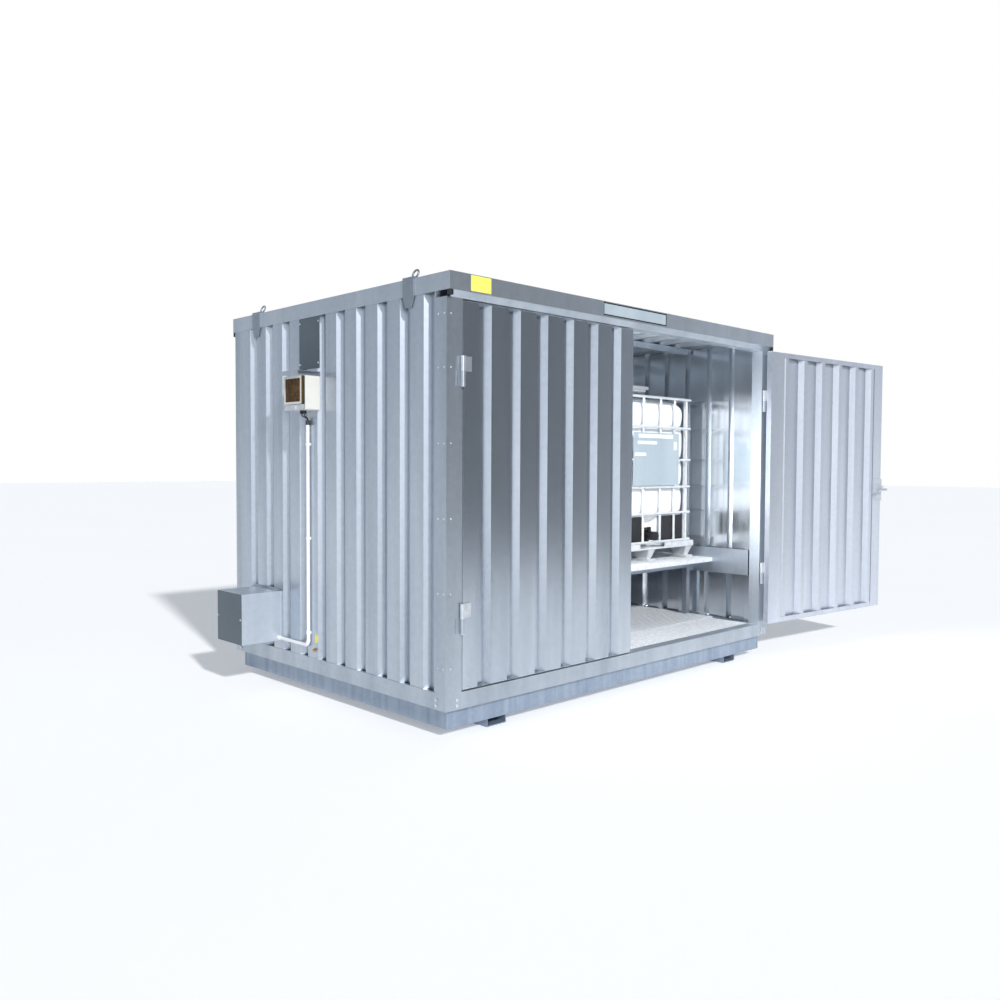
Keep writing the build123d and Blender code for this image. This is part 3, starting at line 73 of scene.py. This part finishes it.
forward = Vector((math.sin(CAMERA_YAW) * math.cos(CAMERA_PITCH),
                  math.cos(CAMERA_YAW) * math.cos(CAMERA_PITCH), math.sin(CAMERA_PITCH)))
level = Vector((math.cos(CAMERA_YAW), -math.sin(CAMERA_YAW), 0))
upright = level.cross(forward)
axis_x = level * math.cos(CAMERA_ROLL) + upright * math.sin(CAMERA_ROLL)
axis_y = upright * math.cos(CAMERA_ROLL) - level * math.sin(CAMERA_ROLL)
turn = Matrix((axis_x, axis_y, -forward)).transposed().to_4x4()
camera_data = bpy.data.cameras.new("camera")
camera_data.sensor_width = SENSOR
camera_data.lens = LENS
camera_data.clip_end = FAR_END
camera = bpy.data.objects.new("camera", camera_data)
camera.matrix_world = Matrix.Translation(CAMERA_PLACE) @ turn
bpy.context.scene.collection.objects.link(camera)
bpy.context.scene.camera = camera


# --------------------------------------------------------------- materials
class Shade:
    """A Principled material with its texture nodes, in the frame's metres."""

    def __init__(self, name, metallic=0.0, transmission=0.0, ior=1.45):
        self.material = bpy.data.materials.new(name)
        self.material.use_nodes = True
        self.tree = self.material.node_tree
        self.shader = self.tree.nodes["Principled BSDF"]
        self.shader.inputs["Metallic"].default_value = metallic
        self.shader.inputs["Transmission Weight"].default_value = transmission
        self.shader.inputs["IOR"].default_value = ior
        self.place = self.add("ShaderNodeTexCoord").outputs["Object"]

    def add(self, kind):
        return self.tree.nodes.new(kind)

    def link(self, out, into):
        self.tree.links.new(out, into)

    def stretched(self, scale):
        node = self.add("ShaderNodeMapping")
        node.inputs["Scale"].default_value = scale
        self.link(self.place, node.inputs["Vector"])
        return node.outputs["Vector"]

    def noise(self, scale, detail=3.0, stretch=None):
        node = self.add("ShaderNodeTexNoise")
        node.inputs["Scale"].default_value = scale
        node.inputs["Detail"].default_value = detail
        self.link(self.stretched(stretch) if stretch else self.place, node.inputs["Vector"])
        return node.outputs["Fac"]

    def cells(self, scale):
        """A flat random value for each crystal."""
        node = self.add("ShaderNodeTexVoronoi")
        node.inputs["Scale"].default_value = scale
        self.link(self.place, node.inputs["Vector"])
        split = self.add("ShaderNodeSeparateColor")
        self.link(node.outputs["Color"], split.inputs["Color"])
        return split.outputs["Red"]

    def ramp(self, value, stops):
        """Carries a value onto colours between two stops."""
        node = self.add("ShaderNodeValToRGB")
        for point, (place, colour) in zip(node.color_ramp.elements, stops):
            point.position = place
            point.color = (*colour, 1)
        self.link(value, node.inputs["Fac"])
        return node.outputs["Color"]

    def spread(self, value, low, high):
        """Carries a value from 0 to 1 onto low to high."""
        node = self.add("ShaderNodeMapRange")
        node.inputs["To Min"].default_value = low
        node.inputs["To Max"].default_value = high
        self.link(value, node.inputs["Value"])
        return node.outputs["Result"]

    def sum(self, first, second, share):
        """The first value plus a share of the second."""
        node = self.add("ShaderNodeMath")
        node.operation = "MULTIPLY_ADD"
        node.inputs[1].default_value = share
        self.link(second, node.inputs[0])
        self.link(first, node.inputs[2])
        return node.outputs["Value"]

    def multiply(self, colour, value, low, high):
        """Shades a colour by a value spread between low and high."""
        node = self.add("ShaderNodeMix")
        node.data_type = "RGBA"
        node.blend_type = "MULTIPLY"
        node.inputs["Factor"].default_value = 1
        grey = self.spread(value, low, high)
        self.link(colour, node.inputs["A"])
        self.link(grey, node.inputs["B"])
        return node.outputs["Result"]

    def colour(self, out):
        self.link(out, self.shader.inputs["Base Color"])

    def rough(self, value, low, high):
        self.link(self.spread(value, low, high), self.shader.inputs["Roughness"])

    def bump(self, value, height, strength):
        node = self.add("ShaderNodeBump")
        node.inputs["Strength"].default_value = strength
        node.inputs["Distance"].default_value = height
        self.link(value, node.inputs["Height"])
        self.link(node.outputs["Normal"], self.shader.inputs["Normal"])


SPANGLE = 42.0                 # zinc crystals per metre
SPANGLE_SHARE = 0.12           # how far a crystal shifts the tone
RUN_SCALE = 1.6
RUN_STRETCH = (5, 5, 0.35)     # run marks are long from top to bottom
ZINC_GRAIN = 260


def zinc(name, dark, light, rough=(0.28, 0.42), streak=RUN_STRETCH, metallic=0.9, spangle=SPANGLE):
    """Hot-dip zinc: crystals, long run marks and a soft sheen."""
    shade = Shade(name, metallic=metallic)
    crystals = shade.cells(spangle)
    runs = shade.noise(RUN_SCALE, 4.0, streak)
    fine = shade.noise(ZINC_GRAIN, 2.0)
    both = shade.sum(runs, crystals, SPANGLE_SHARE)
    tone = shade.ramp(both, [(0.30, dark), (0.80, light)])
    shade.colour(shade.multiply(tone, fine, 0.96, 1.03))
    shade.rough(runs, rough[1], rough[0])
    shade.bump(fine, 0.00002, 0.3)
    return shade.material


def plastic(name, dark, light, rough=(0.32, 0.5), grain=900, scale=6):
    """Moulded plastic: faint tone drift and a fine grain."""
    shade = Shade(name)
    drift = shade.noise(scale, 3.0)
    fine = shade.noise(grain, 2.0)
    shade.colour(shade.ramp(drift, [(0.3, dark), (0.7, light)]))
    shade.rough(drift, *rough)
    shade.bump(fine, 0.00004, 0.6)
    return shade.material


def painted(name, dark, light, metallic=0.0):
    """Coated sheet: orange-peel skin, rubbed and dusty in patches."""
    shade = Shade(name, metallic=metallic)
    patches = shade.noise(3.5, 5.0)
    peel = shade.noise(420, 1.0)
    shade.colour(shade.ramp(patches, [(0.3, dark), (0.75, light)]))
    shade.rough(patches, 0.3, 0.45)
    shade.bump(peel, 0.00006, 0.5)
    return shade.material


def worn_metal(name, dark, light, rough=(0.22, 0.45), metallic=1.0):
    """Bare metal, rubbed bright in patches."""
    shade = Shade(name, metallic=metallic)
    wear = shade.noise(30, 5.0)
    fine = shade.noise(700, 2.0)
    shade.colour(shade.ramp(wear, [(0.3, dark), (0.7, light)]))
    shade.rough(wear, rough[1], rough[0])
    shade.bump(fine, 0.00005, 0.5)
    return shade.material


def tinted(name, dark, light):
    """A smoked window that shows what is behind it."""
    shade = Shade(name, transmission=0.82, ior=1.12)
    drift = shade.noise(12, 3.0)
    shade.colour(shade.ramp(drift, [(0.3, dark), (0.7, light)]))
    shade.rough(drift, 0.03, 0.08)
    return shade.material


MATERIALS = {
    "galvanised_sheet": zinc("zinc_sheet", (0.40, 0.45, 0.52), (0.52, 0.57, 0.64),
                             rough=(0.26, 0.36), metallic=0.78),
    "galvanised_frame": zinc("zinc_frame", (0.38, 0.43, 0.49), (0.50, 0.55, 0.61),
                             rough=(0.34, 0.46), metallic=0.85),
    "zinc_hardware": worn_metal("bright_zinc", (0.58, 0.61, 0.65), (0.74, 0.77, 0.80),
                                metallic=0.8),
    # painted reflection and shade: near-black colour standing in for the dark surroundings mirrored
    # in these smooth zinc plates
    "dark_sheet": painted("dark_sheet", (0.075, 0.10, 0.125), (0.10, 0.13, 0.155), metallic=0.3),
    "grating_steel": worn_metal("grating_zinc", (0.66, 0.68, 0.71), (0.80, 0.82, 0.85),
                                rough=(0.4, 0.55), metallic=0.2),
    "black_plastic": plastic("black_plastic", (0.010, 0.010, 0.012), (0.022, 0.022, 0.025)),
    "white_plastic": plastic("white_plastic", (0.74, 0.75, 0.76), (0.82, 0.83, 0.84)),
    "milky_plastic": plastic("milky_plastic", (0.84, 0.86, 0.88), (0.90, 0.92, 0.94), scale=3),
    "clear_lens": plastic("lens_plastic", (0.84, 0.85, 0.86), (0.92, 0.93, 0.93)),
    "cream_enclosure": painted("cream_paint", (0.62, 0.61, 0.57), (0.70, 0.69, 0.65)),
    "brown_cover": tinted("smoked_window", (0.30, 0.19, 0.09), (0.38, 0.25, 0.13)),
    "yellow_label": plastic("yellow_film", (0.74, 0.68, 0.12), (0.82, 0.76, 0.18), grain=300),
    "brass": worn_metal("brass_metal", (0.55, 0.33, 0.16), (0.76, 0.50, 0.26)),
    "grey_rubber": plastic("dark_rubber", (0.025, 0.025, 0.028), (0.05, 0.05, 0.055),
                           rough=(0.5, 0.7)),
    "plate_blank": zinc("plate_zinc", (0.42, 0.50, 0.55), (0.50, 0.58, 0.63),
                        spangle=90, metallic=0.3),
}

# some nodes of one slot get a tone of their own; the inner walls and the open right leaf are lighter
# copies of the sheet zinc, with painted reflection and painted light in their colour
TUB_ZINC = zinc("zinc_tub", (0.23, 0.29, 0.38), (0.34, 0.40, 0.49),
                rough=(0.38, 0.52), streak=(14, 14, 0.5), metallic=0.55)
HOOD_ZINC = zinc("zinc_hood", (0.48, 0.54, 0.61), (0.60, 0.66, 0.72),
                 rough=(0.36, 0.46), metallic=0.55)
FASCIA_ZINC = zinc("zinc_fascia", (0.46, 0.51, 0.57), (0.56, 0.61, 0.67),
                   rough=(0.32, 0.44), metallic=0.85)
# painted reflection: a light zinc for the inner walls, standing in for the bright reflection on them
INNER_ZINC_PAINTED_REFLECTION = zinc("zinc_inner_painted_reflection", (0.70, 0.75, 0.80), (0.84, 0.88, 0.92),
                  rough=(0.12, 0.20), metallic=0.97)
DOOR_ZINC = zinc("zinc_door", (0.42, 0.47, 0.54), (0.55, 0.60, 0.67),
                 rough=(0.22, 0.30), metallic=0.90)
# painted light: a lighter copy of the door zinc for the open leaf, standing in for the light on its
# face
LEAF_ZINC_PAINTED_LIGHT = zinc("zinc_leaf_painted_light", (0.58, 0.62, 0.70), (0.70, 0.74, 0.82),
                 rough=(0.26, 0.36), metallic=0.80)
BRACKET_ZINC = zinc("zinc_bracket", (0.24, 0.28, 0.33), (0.34, 0.38, 0.43),
                    rough=(0.40, 0.52), metallic=0.7)
CAGE_ZINC = worn_metal("cage_zinc", (0.66, 0.68, 0.71), (0.80, 0.82, 0.84),
                       rough=(0.3, 0.45), metallic=0.35)
SPECIAL = {
    "sump_tub": TUB_ZINC, "skid_frame": TUB_ZINC,
    "roof_frame": FASCIA_ZINC, "roof_sheet": FASCIA_ZINC, "vent_hood": HOOD_ZINC,
    "right_wall": INNER_ZINC_PAINTED_REFLECTION, "back_wall": INNER_ZINC_PAINTED_REFLECTION, "lifting_brackets": BRACKET_ZINC,
    "left_door_sheet": DOOR_ZINC, "right_door_sheet": LEAF_ZINC_PAINTED_LIGHT, "right_door_frame": LEAF_ZINC_PAINTED_LIGHT,
    "ibc_cage": CAGE_ZINC, "ibc_pallet": CAGE_ZINC,
}
slot_of = {row["node"]: row["material_slot"] for row in frame["record"]["subparts"]}


def coat(piece, material):
    piece.data.materials.clear()
    piece.data.materials.append(material)


for name, node in nodes.items():
    coat(node, SPECIAL.get(name, MATERIALS[slot_of[name]]))


# ------------------------------------------------------------ mesh helpers
def add_piece(name, data, slot, body):
    """Puts a mesh into the scene as a piece that moves with its body."""
    piece = bpy.data.objects.new(name, data)
    bpy.context.scene.collection.objects.link(piece)
    coat(piece, MATERIALS[slot])
    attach(piece, body)
    return piece


def skin(mesh, points):
    """Closes a skin over rings of points: four-sided faces between rings, a cap on each end."""
    rings = [[mesh.verts.new(point) for point in ring] for ring in points]
    count = len(rings[0])
    for lower, upper in zip(rings, rings[1:]):
        for i in range(count):
            mesh.faces.new((lower[i], lower[(i + 1) % count], upper[(i + 1) % count], upper[i]))
    mesh.faces.new(reversed(rings[0]))
    mesh.faces.new(rings[-1])


def round_piece(name, mesh, slot, body):
    """Makes a piece of skins, with smooth sides and flat caps."""
    data = bpy.data.meshes.new(name)
    mesh.to_mesh(data)
    mesh.free()
    for face in data.polygons:
        face.use_smooth = len(face.vertices) == 4
    return add_piece(name, data, slot, body)


CUBE_FACES = ((0, 2, 3, 1), (4, 5, 7, 6), (0, 1, 5, 4), (2, 6, 7, 3), (0, 4, 6, 2), (1, 3, 7, 5))


class Boxes:
    """Gathers many straight bars into one mesh."""

    def __init__(self):
        self.points = []
        self.faces = []

    def box(self, x0, x1, y0, y1, z0, z1):
        first = len(self.points)
        self.points += [(x, y, z) for z in (z0, z1) for y in (y0, y1) for x in (x0, x1)]
        for face in CUBE_FACES:
            self.faces.append(tuple(first + corner for corner in face))

    def piece(self, name, slot, body):
        mesh = bpy.data.meshes.new(name)
        mesh.from_pydata(self.points, [], self.faces)
        return add_piece(name, mesh, slot, body)


# ---------------------------------------------------------------- gratings
BEARING_PITCH = 0.0300
CROSS_PITCH = 0.0335
BAR_THICK = 0.0026
CROSS_THICK = 0.0030
BAND_THICK = 0.0040
CROSS_HEIGHT = 0.0040
BEARING_SINK = 0.001           # bearing bars stay this far inside the band's height


def fine_grating(node, body):
    """A pressed bar grating in the place of the coarse one."""
    low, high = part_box(node)
    bars = Boxes()
    across = high.x - low.x
    along = high.y - low.y
    bearing = round(across / BEARING_PITCH)
    crossing = round(along / CROSS_PITCH)
    for x in (low.x, high.x - BAND_THICK):
        bars.box(x, x + BAND_THICK, low.y, high.y, low.z, high.z)
    for y in (low.y, high.y - BAND_THICK):
        bars.box(low.x + BAND_THICK, high.x - BAND_THICK, y, y + BAND_THICK, low.z, high.z)
    for i in range(1, bearing):
        x = low.x + across * i / bearing
        bars.box(x - BAR_THICK / 2, x + BAR_THICK / 2, low.y + BAND_THICK, high.y - BAND_THICK,
                 low.z + BEARING_SINK, high.z - BEARING_SINK)
    for i in range(1, crossing):
        y = low.y + along * i / crossing
        bars.box(low.x + BAND_THICK, high.x - BAND_THICK, y - CROSS_THICK / 2, y + CROSS_THICK / 2,
                 high.z - CROSS_HEIGHT, high.z)
    piece = bars.piece("fine_" + node, "grating_steel", body)
    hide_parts(node)


fine_grating("walkway_grating", "walkway")
fine_grating("rear_grating", "container")
fine_grating("platform_grating", "container")

# -------------------------------------------------------------- IBC bottle
RING_SHARE = 10                        # points on each corner of the outline
EDGE_SHARE = 28                        # points on each straight edge
CORNER_R = 0.110
SHOULDER_R = 0.085
FOOT_R = 0.030
GROOVE_DEPTH = 0.009
GROOVE_HALF = 0.016
PANEL_SWELL = 0.006
SWELL_HALF = 0.080
GROOVE_SHARES = (0.20, 0.38, 0.57, 0.79)      # of the cage's height
BOTTLE_STEPS = 120
RECESS_HALF = 0.105
RECESS_DEPTH = 0.066
RECESS_HEIGHT = 0.235
RECESS_SIDE = 0.030                    # how softly the recess begins
RECESS_ROOF = 0.070
NECK_R = 0.072
NECK_RISE = 0.022
NECK_SHARES = (0.35, 0.70, 1.00)       # rings from the shoulder in to the neck
OUTLET_R = 0.038
OUTLET_FLARE = 0.010
OUTLET_SIDES = 40
OUTLET_SINK = 0.006                    # the flare starts this far behind the recess wall
OUTLET_LEVEL = 0.004                   # and ends this far in front of it
OUTLET_GAP = 0.0005                    # outlet clear of the valve body


def outline(middle, half_x, half_y, radius):
    """Points round a rounded rectangle, edge by edge, anticlockwise from the front edge."""
    points = []
    corners = ((1, -1, -90), (1, 1, 0), (-1, 1, 90), (-1, -1, 180))
    for index, (way_x, way_y, start) in enumerate(corners):
        last = corners[index - 1]
        begin = Vector((last[0] * (half_x - radius), last[1] * (half_y - radius)))
        end = Vector((way_x * (half_x - radius), way_y * (half_y - radius)))
        lean = Vector((math.cos(math.radians(start)), math.sin(math.radians(start)))) * radius
        for step in range(EDGE_SHARE):
            points.append(begin.lerp(end, step / EDGE_SHARE) + lean)
        for step in range(RING_SHARE):
            angle = math.radians(start + 90 * step / RING_SHARE)
            points.append(end + Vector((math.cos(angle), math.sin(angle))) * radius)
    return [middle + point for point in points]


def smooth(value):
    """An even step from 0 to 1 with soft ends."""
    value = max(0.0, min(1.0, value))
    return value * value * (3 - 2 * value)


def side_inset(z, foot, top, grooves):
    """How far the bottle's side stands in from its box at this height."""
    inset = 0.0
    if z < foot + FOOT_R:
        drop = 1 - (z - foot) / FOOT_R
        inset = FOOT_R * (1 - math.sqrt(max(0.0, 1 - drop * drop)))
    if z > top - SHOULDER_R:
        rise = (z - top + SHOULDER_R) / SHOULDER_R
        inset = SHOULDER_R * (1 - math.sqrt(max(0.0, 1 - rise * rise)))
    near = min(abs(z - groove) for groove in grooves)
    inset += GROOVE_DEPTH * (1 - smooth(near / GROOVE_HALF))
    inset += PANEL_SWELL * (1 - smooth(near / SWELL_HALF))
    return inset


def body_rings():
    """The bottle's rings, from its foot to the rim of its neck."""
    low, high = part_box("ibc_bottle")
    middle = Vector(((low.x + high.x) / 2, (low.y + high.y) / 2))
    half_x, half_y = (high.x - low.x) / 2, (high.y - low.y) / 2
    top = high.z - NECK_RISE
    cage_low, cage_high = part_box("ibc_cage")
    grooves = [cage_low.z + (cage_high.z - cage_low.z) * share for share in GROOVE_SHARES]
    rings = []
    for step in range(BOTTLE_STEPS + 1):
        z = low.z + (top - low.z) * step / BOTTLE_STEPS
        inset = side_inset(z, low.z, top, grooves)
        rings.append([Vector((x, y, z)) for x, y in
                      outline(middle, half_x - inset, half_y - inset, CORNER_R)])
    for ring in rings:
        for point in ring:
            across = 1 - smooth((abs(point.x - middle.x) - RECESS_HALF + RECESS_SIDE) / RECESS_SIDE)
            upward = 1 - smooth((point.z - low.z - RECESS_HEIGHT + RECESS_ROOF) / RECESS_ROOF)
            if point.y < middle.y:
                point.y += RECESS_DEPTH * across * upward
    shoulder = rings[-1]
    for share in NECK_SHARES:
        ring = []
        for point in shoulder:
            away = Vector((point.x - middle.x, point.y - middle.y))
            rim = middle + away.normalized() * NECK_R
            ring.append(Vector((point.x, point.y)).lerp(rim, share).to_3d() + Vector((0, 0, top)))
        rings.append(ring)
    rings.append([point + Vector((0, 0, NECK_RISE)) for point in rings[-1]])
    return rings


def outlet_rings():
    """The outlet's rings, from a flare in the recess to the valve."""
    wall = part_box("ibc_bottle")[0].y + RECESS_DEPTH
    valve_low, valve_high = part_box("ibc_valve_body")
    cap_low, cap_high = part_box("ibc_outlet_cap")
    middle_x = (valve_low.x + valve_high.x) / 2
    middle_z = (cap_low.z + cap_high.z) / 2
    return [[(middle_x + radius * math.cos(math.tau * i / OUTLET_SIDES), y,
              middle_z + radius * math.sin(math.tau * i / OUTLET_SIDES)) for i in range(OUTLET_SIDES)]
            for y, radius in ((wall + OUTLET_SINK, OUTLET_R + OUTLET_FLARE),
                              (wall - OUTLET_LEVEL, OUTLET_R),
                              (valve_high.y + OUTLET_GAP, OUTLET_R))]


def make_bottle():
    """The blow-moulded bottle in the place of the plain one."""
    mesh = bmesh.new()
    skin(mesh, body_rings())
    skin(mesh, outlet_rings())
    bmesh.ops.recalc_face_normals(mesh, faces=mesh.faces)
    piece = round_piece("moulded_bottle", mesh, "milky_plastic", "ibc")
    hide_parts("ibc_bottle")


make_bottle()

# ------------------------------------------------- blank plates and labels
BORDER = 0.007
PROUD = 0.0006
low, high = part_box("name_plate")
border = Boxes()
border.box(low.x, high.x, low.y - PROUD, low.y, low.z, low.z + BORDER)
border.box(low.x, high.x, low.y - PROUD, low.y, high.z - BORDER, high.z)
border.box(low.x, low.x + BORDER, low.y - PROUD, low.y, low.z + BORDER, high.z - BORDER)
border.box(high.x - BORDER, high.x, low.y - PROUD, low.y, low.z + BORDER, high.z - BORDER)
border.piece("name_plate_border", "black_plastic", "container")

# blank bars on the label plate, as shares of its width and height
FIELDS = ((0.10, 0.86, 0.90, 0.97), (0.08, 0.50, 0.78, 0.84),
          (0.02, 0.26, 0.56, 0.62), (0.88, 0.95, 0.68, 0.84))
low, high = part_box("ibc_label_plate")
fields = Boxes()
for x0, x1, z0, z1 in FIELDS:
    fields.box(low.x + (high.x - low.x) * x0, low.x + (high.x - low.x) * x1, low.y - PROUD, low.y,
               low.z + (high.z - low.z) * z0, low.z + (high.z - low.z) * z1)
fields.piece("label_fields", "white_plastic", "ibc")

# ----------------------------------------------------- control box details
BEZEL = 0.013
BEZEL_PROUD = 2 * PROUD
low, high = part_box("control_cover")
bezel = Boxes()
for y0, y1, z0, z1 in ((low.y, high.y, low.z, low.z + BEZEL), (low.y, high.y, high.z - BEZEL, high.z),
                       (low.y, low.y + BEZEL, low.z + BEZEL, high.z - BEZEL),
                       (high.y - BEZEL, high.y, low.z + BEZEL, high.z - BEZEL)):
    bezel.box(low.x - BEZEL_PROUD, low.x, y0, y1, z0, z1)
bezel.piece("cover_bezel", "cream_enclosure", "cover")

# the yellow field behind the knob
FIELD_Y, FIELD_DOWN, FIELD_UP = 0.052, 0.030, 0.056
FIELD_PROUD = PROUD / 4
knob_low, knob_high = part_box("control_knob")
panel_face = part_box("control_panel")[0].x
knob_y, knob_z = (knob_low.y + knob_high.y) / 2, (knob_low.z + knob_high.z) / 2
field = Boxes()
field.box(panel_face - FIELD_PROUD, panel_face, knob_y - FIELD_Y, knob_y + FIELD_Y,
          knob_z - FIELD_DOWN, knob_z + FIELD_UP)
field.piece("switch_field", "yellow_label", "container")

# ------------------------------------------------------------------ rivets
RIVET_R = 0.0055
RIVET_RISE = 0.003
RIVET_SIDES = 14
RIVET_RINGS = 4


def rivets(name, places, way, body):
    """Domed heads on a face: way is the face's outward direction."""
    way = Vector(way)
    side = way.orthogonal().normalized()
    other = way.cross(side)
    mesh = bmesh.new()
    for place in places:
        rings = []
        for ring in range(RIVET_RINGS):
            lean = math.radians(90 * ring / RIVET_RINGS)
            radius, rise = RIVET_R * math.cos(lean), RIVET_RISE * math.sin(lean)
            rings.append([Vector(place) + way * rise
                          + (side * math.cos(math.tau * i / RIVET_SIDES)
                             + other * math.sin(math.tau * i / RIVET_SIDES)) * radius
                          for i in range(RIVET_SIDES)])
        skin(mesh, rings)
    round_piece(name, mesh, "zinc_hardware", body)


RIVET_HEIGHTS = (0.36, 0.73, 1.10, 1.47, 1.84, 2.10)
RIVET_INSETS = (0.018, 0.062)          # from a post's front edge, on its side
RIVET_FRONT_INSET = 0.030              # from a post's outer edge, on its front
post_low, post_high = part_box("corner_posts")


def side_rivets(x):
    """Where the rivets sit on the side of a front post."""
    return [(x, post_low.y + inset, z) for inset in RIVET_INSETS for z in RIVET_HEIGHTS]


rivets("left_post_rivets", side_rivets(post_low.x), (-1, 0, 0), "container")
rivets("front_post_rivets", [(x, post_low.y, z) for z in RIVET_HEIGHTS
                             for x in (post_low.x + RIVET_FRONT_INSET,
                                       post_high.x - RIVET_FRONT_INSET)], (0, -1, 0), "container")
rivets("right_post_rivets", side_rivets(post_high.x), (1, 0, 0), "container")

# ------------------------------------------------------------ floor, light
FLOOR_HALF = 60.0
FLOOR_ROUGHNESS = 0.9
FLOOR_GLOW = 0.24                      # keeps the floor white without burning out the object
CARD_LEFT, CARD_RIGHT = (-2.0, -6.8), (6.7, -5.9)
CARD_HEIGHT = 9.0
WHITE = (1, 1, 1, 1)


def stage_sheet(name, corners, shade):
    """A flat sheet of the studio, which isn't part of the object."""
    mesh = bpy.data.meshes.new(name)
    mesh.from_pydata(corners, [], [tuple(range(len(corners)))])
    sheet = bpy.data.objects.new(name, mesh)
    bpy.context.scene.collection.objects.link(sheet)
    coat(sheet, shade.material)
    sheet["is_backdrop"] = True
    return sheet


paper = Shade("floor_paper")
paper.colour(paper.ramp(paper.noise(0.4, 2.0), [(0.3, (0.93, 0.925, 0.92)),
                                                (0.7, (0.95, 0.945, 0.94))]))
paper.shader.inputs["Roughness"].default_value = FLOOR_ROUGHNESS
paper.shader.inputs["Emission Color"].default_value = WHITE
paper.shader.inputs["Emission Strength"].default_value = FLOOR_GLOW
stage_sheet("floor", [(-FLOOR_HALF, -FLOOR_HALF, 0), (FLOOR_HALF, -FLOOR_HALF, 0),
                      (FLOOR_HALF, FLOOR_HALF, 0), (-FLOOR_HALF, FLOOR_HALF, 0)], paper)

# a dark card in front of the doors, out of the picture, for the sheen to fade into
felt = Shade("card_felt")
felt.colour(felt.ramp(felt.noise(3.0), [(0.3, (0.050, 0.060, 0.072)),
                                        (0.7, (0.062, 0.072, 0.085))]))
card = stage_sheet("dark_card", [(*CARD_LEFT, 0), (*CARD_RIGHT, 0), (*CARD_RIGHT, CARD_HEIGHT),
                                 (*CARD_LEFT, CARD_HEIGHT)], felt)
card.visible_camera = False
card.visible_shadow = False
card.visible_diffuse = False

# the sky lights the object from grey, while the camera sees white behind it
SKY_LEVEL = (0.62, 0.67, 0.73, 1)
SKY_ABOVE = (0.20, 0.235, 0.28, 1)
SKY_FADE_END = 0.6                     # height share at which the sky is dark
world = bpy.data.worlds.new("studio")
bpy.context.scene.world = world
world.use_nodes = True
sky = world.node_tree
away = sky.nodes.new("ShaderNodeTexCoord")
split = sky.nodes.new("ShaderNodeSeparateXYZ")
fade = sky.nodes.new("ShaderNodeValToRGB")
sky.links.new(away.outputs["Generated"], split.inputs["Vector"])
sky.links.new(split.outputs["Z"], fade.inputs["Fac"])
fade.color_ramp.elements[0].position = 0.0
fade.color_ramp.elements[0].color = SKY_LEVEL
fade.color_ramp.elements[1].position = SKY_FADE_END
fade.color_ramp.elements[1].color = SKY_ABOVE
studio = sky.nodes["Background"]
sky.links.new(fade.outputs["Color"], studio.inputs["Color"])
studio.inputs["Strength"].default_value = 1.0
backdrop = sky.nodes.new("ShaderNodeBackground")
backdrop.inputs["Color"].default_value = WHITE
backdrop.inputs["Strength"].default_value = 1.0
seen = sky.nodes.new("ShaderNodeLightPath")
choose = sky.nodes.new("ShaderNodeMixShader")
sky.links.new(seen.outputs["Is Camera Ray"], choose.inputs["Fac"])
sky.links.new(studio.outputs["Background"], choose.inputs[1])
sky.links.new(backdrop.outputs["Background"], choose.inputs[2])
sky.links.new(choose.outputs["Shader"], sky.nodes["World Output"].inputs["Surface"])


def aimed(name, data, way):
    """A lamp that shines along a way."""
    lamp = bpy.data.objects.new(name, data)
    lamp.rotation_euler = Vector(way).to_track_quat("-Z", "Y").to_euler()
    bpy.context.scene.collection.objects.link(lamp)
    return lamp


def area_light(name, place, aim, size, watts):
    """A rectangular lamp at a place, aimed at a point."""
    data = bpy.data.lights.new(name, "AREA")
    data.shape = "RECTANGLE"
    data.size, data.size_y = size
    data.energy = watts
    aimed(name, data, Vector(aim) - Vector(place)).location = place


SUN_WAY = (0.24, 0.83, -0.50)
SUN_STRENGTH = 3.0
SUN_ANGLE = math.radians(3)
sun = bpy.data.lights.new("sun", "SUN")
sun.energy = SUN_STRENGTH
sun.angle = SUN_ANGLE
aimed("sun", sun, SUN_WAY)
area_light("behind_camera", place=(-10.0, -10.0, 4.0), aim=(0, 0, 1.0), size=(16, 9), watts=200)
area_light("bay_fill", place=(-0.55, -0.52, 1.25), aim=(1.4, -0.62, 1.05), size=(0.6, 1.1), watts=34)

bpy.context.scene.view_settings.view_transform = "Standard"

# -------------------------------------------------------------------- end
low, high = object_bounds()
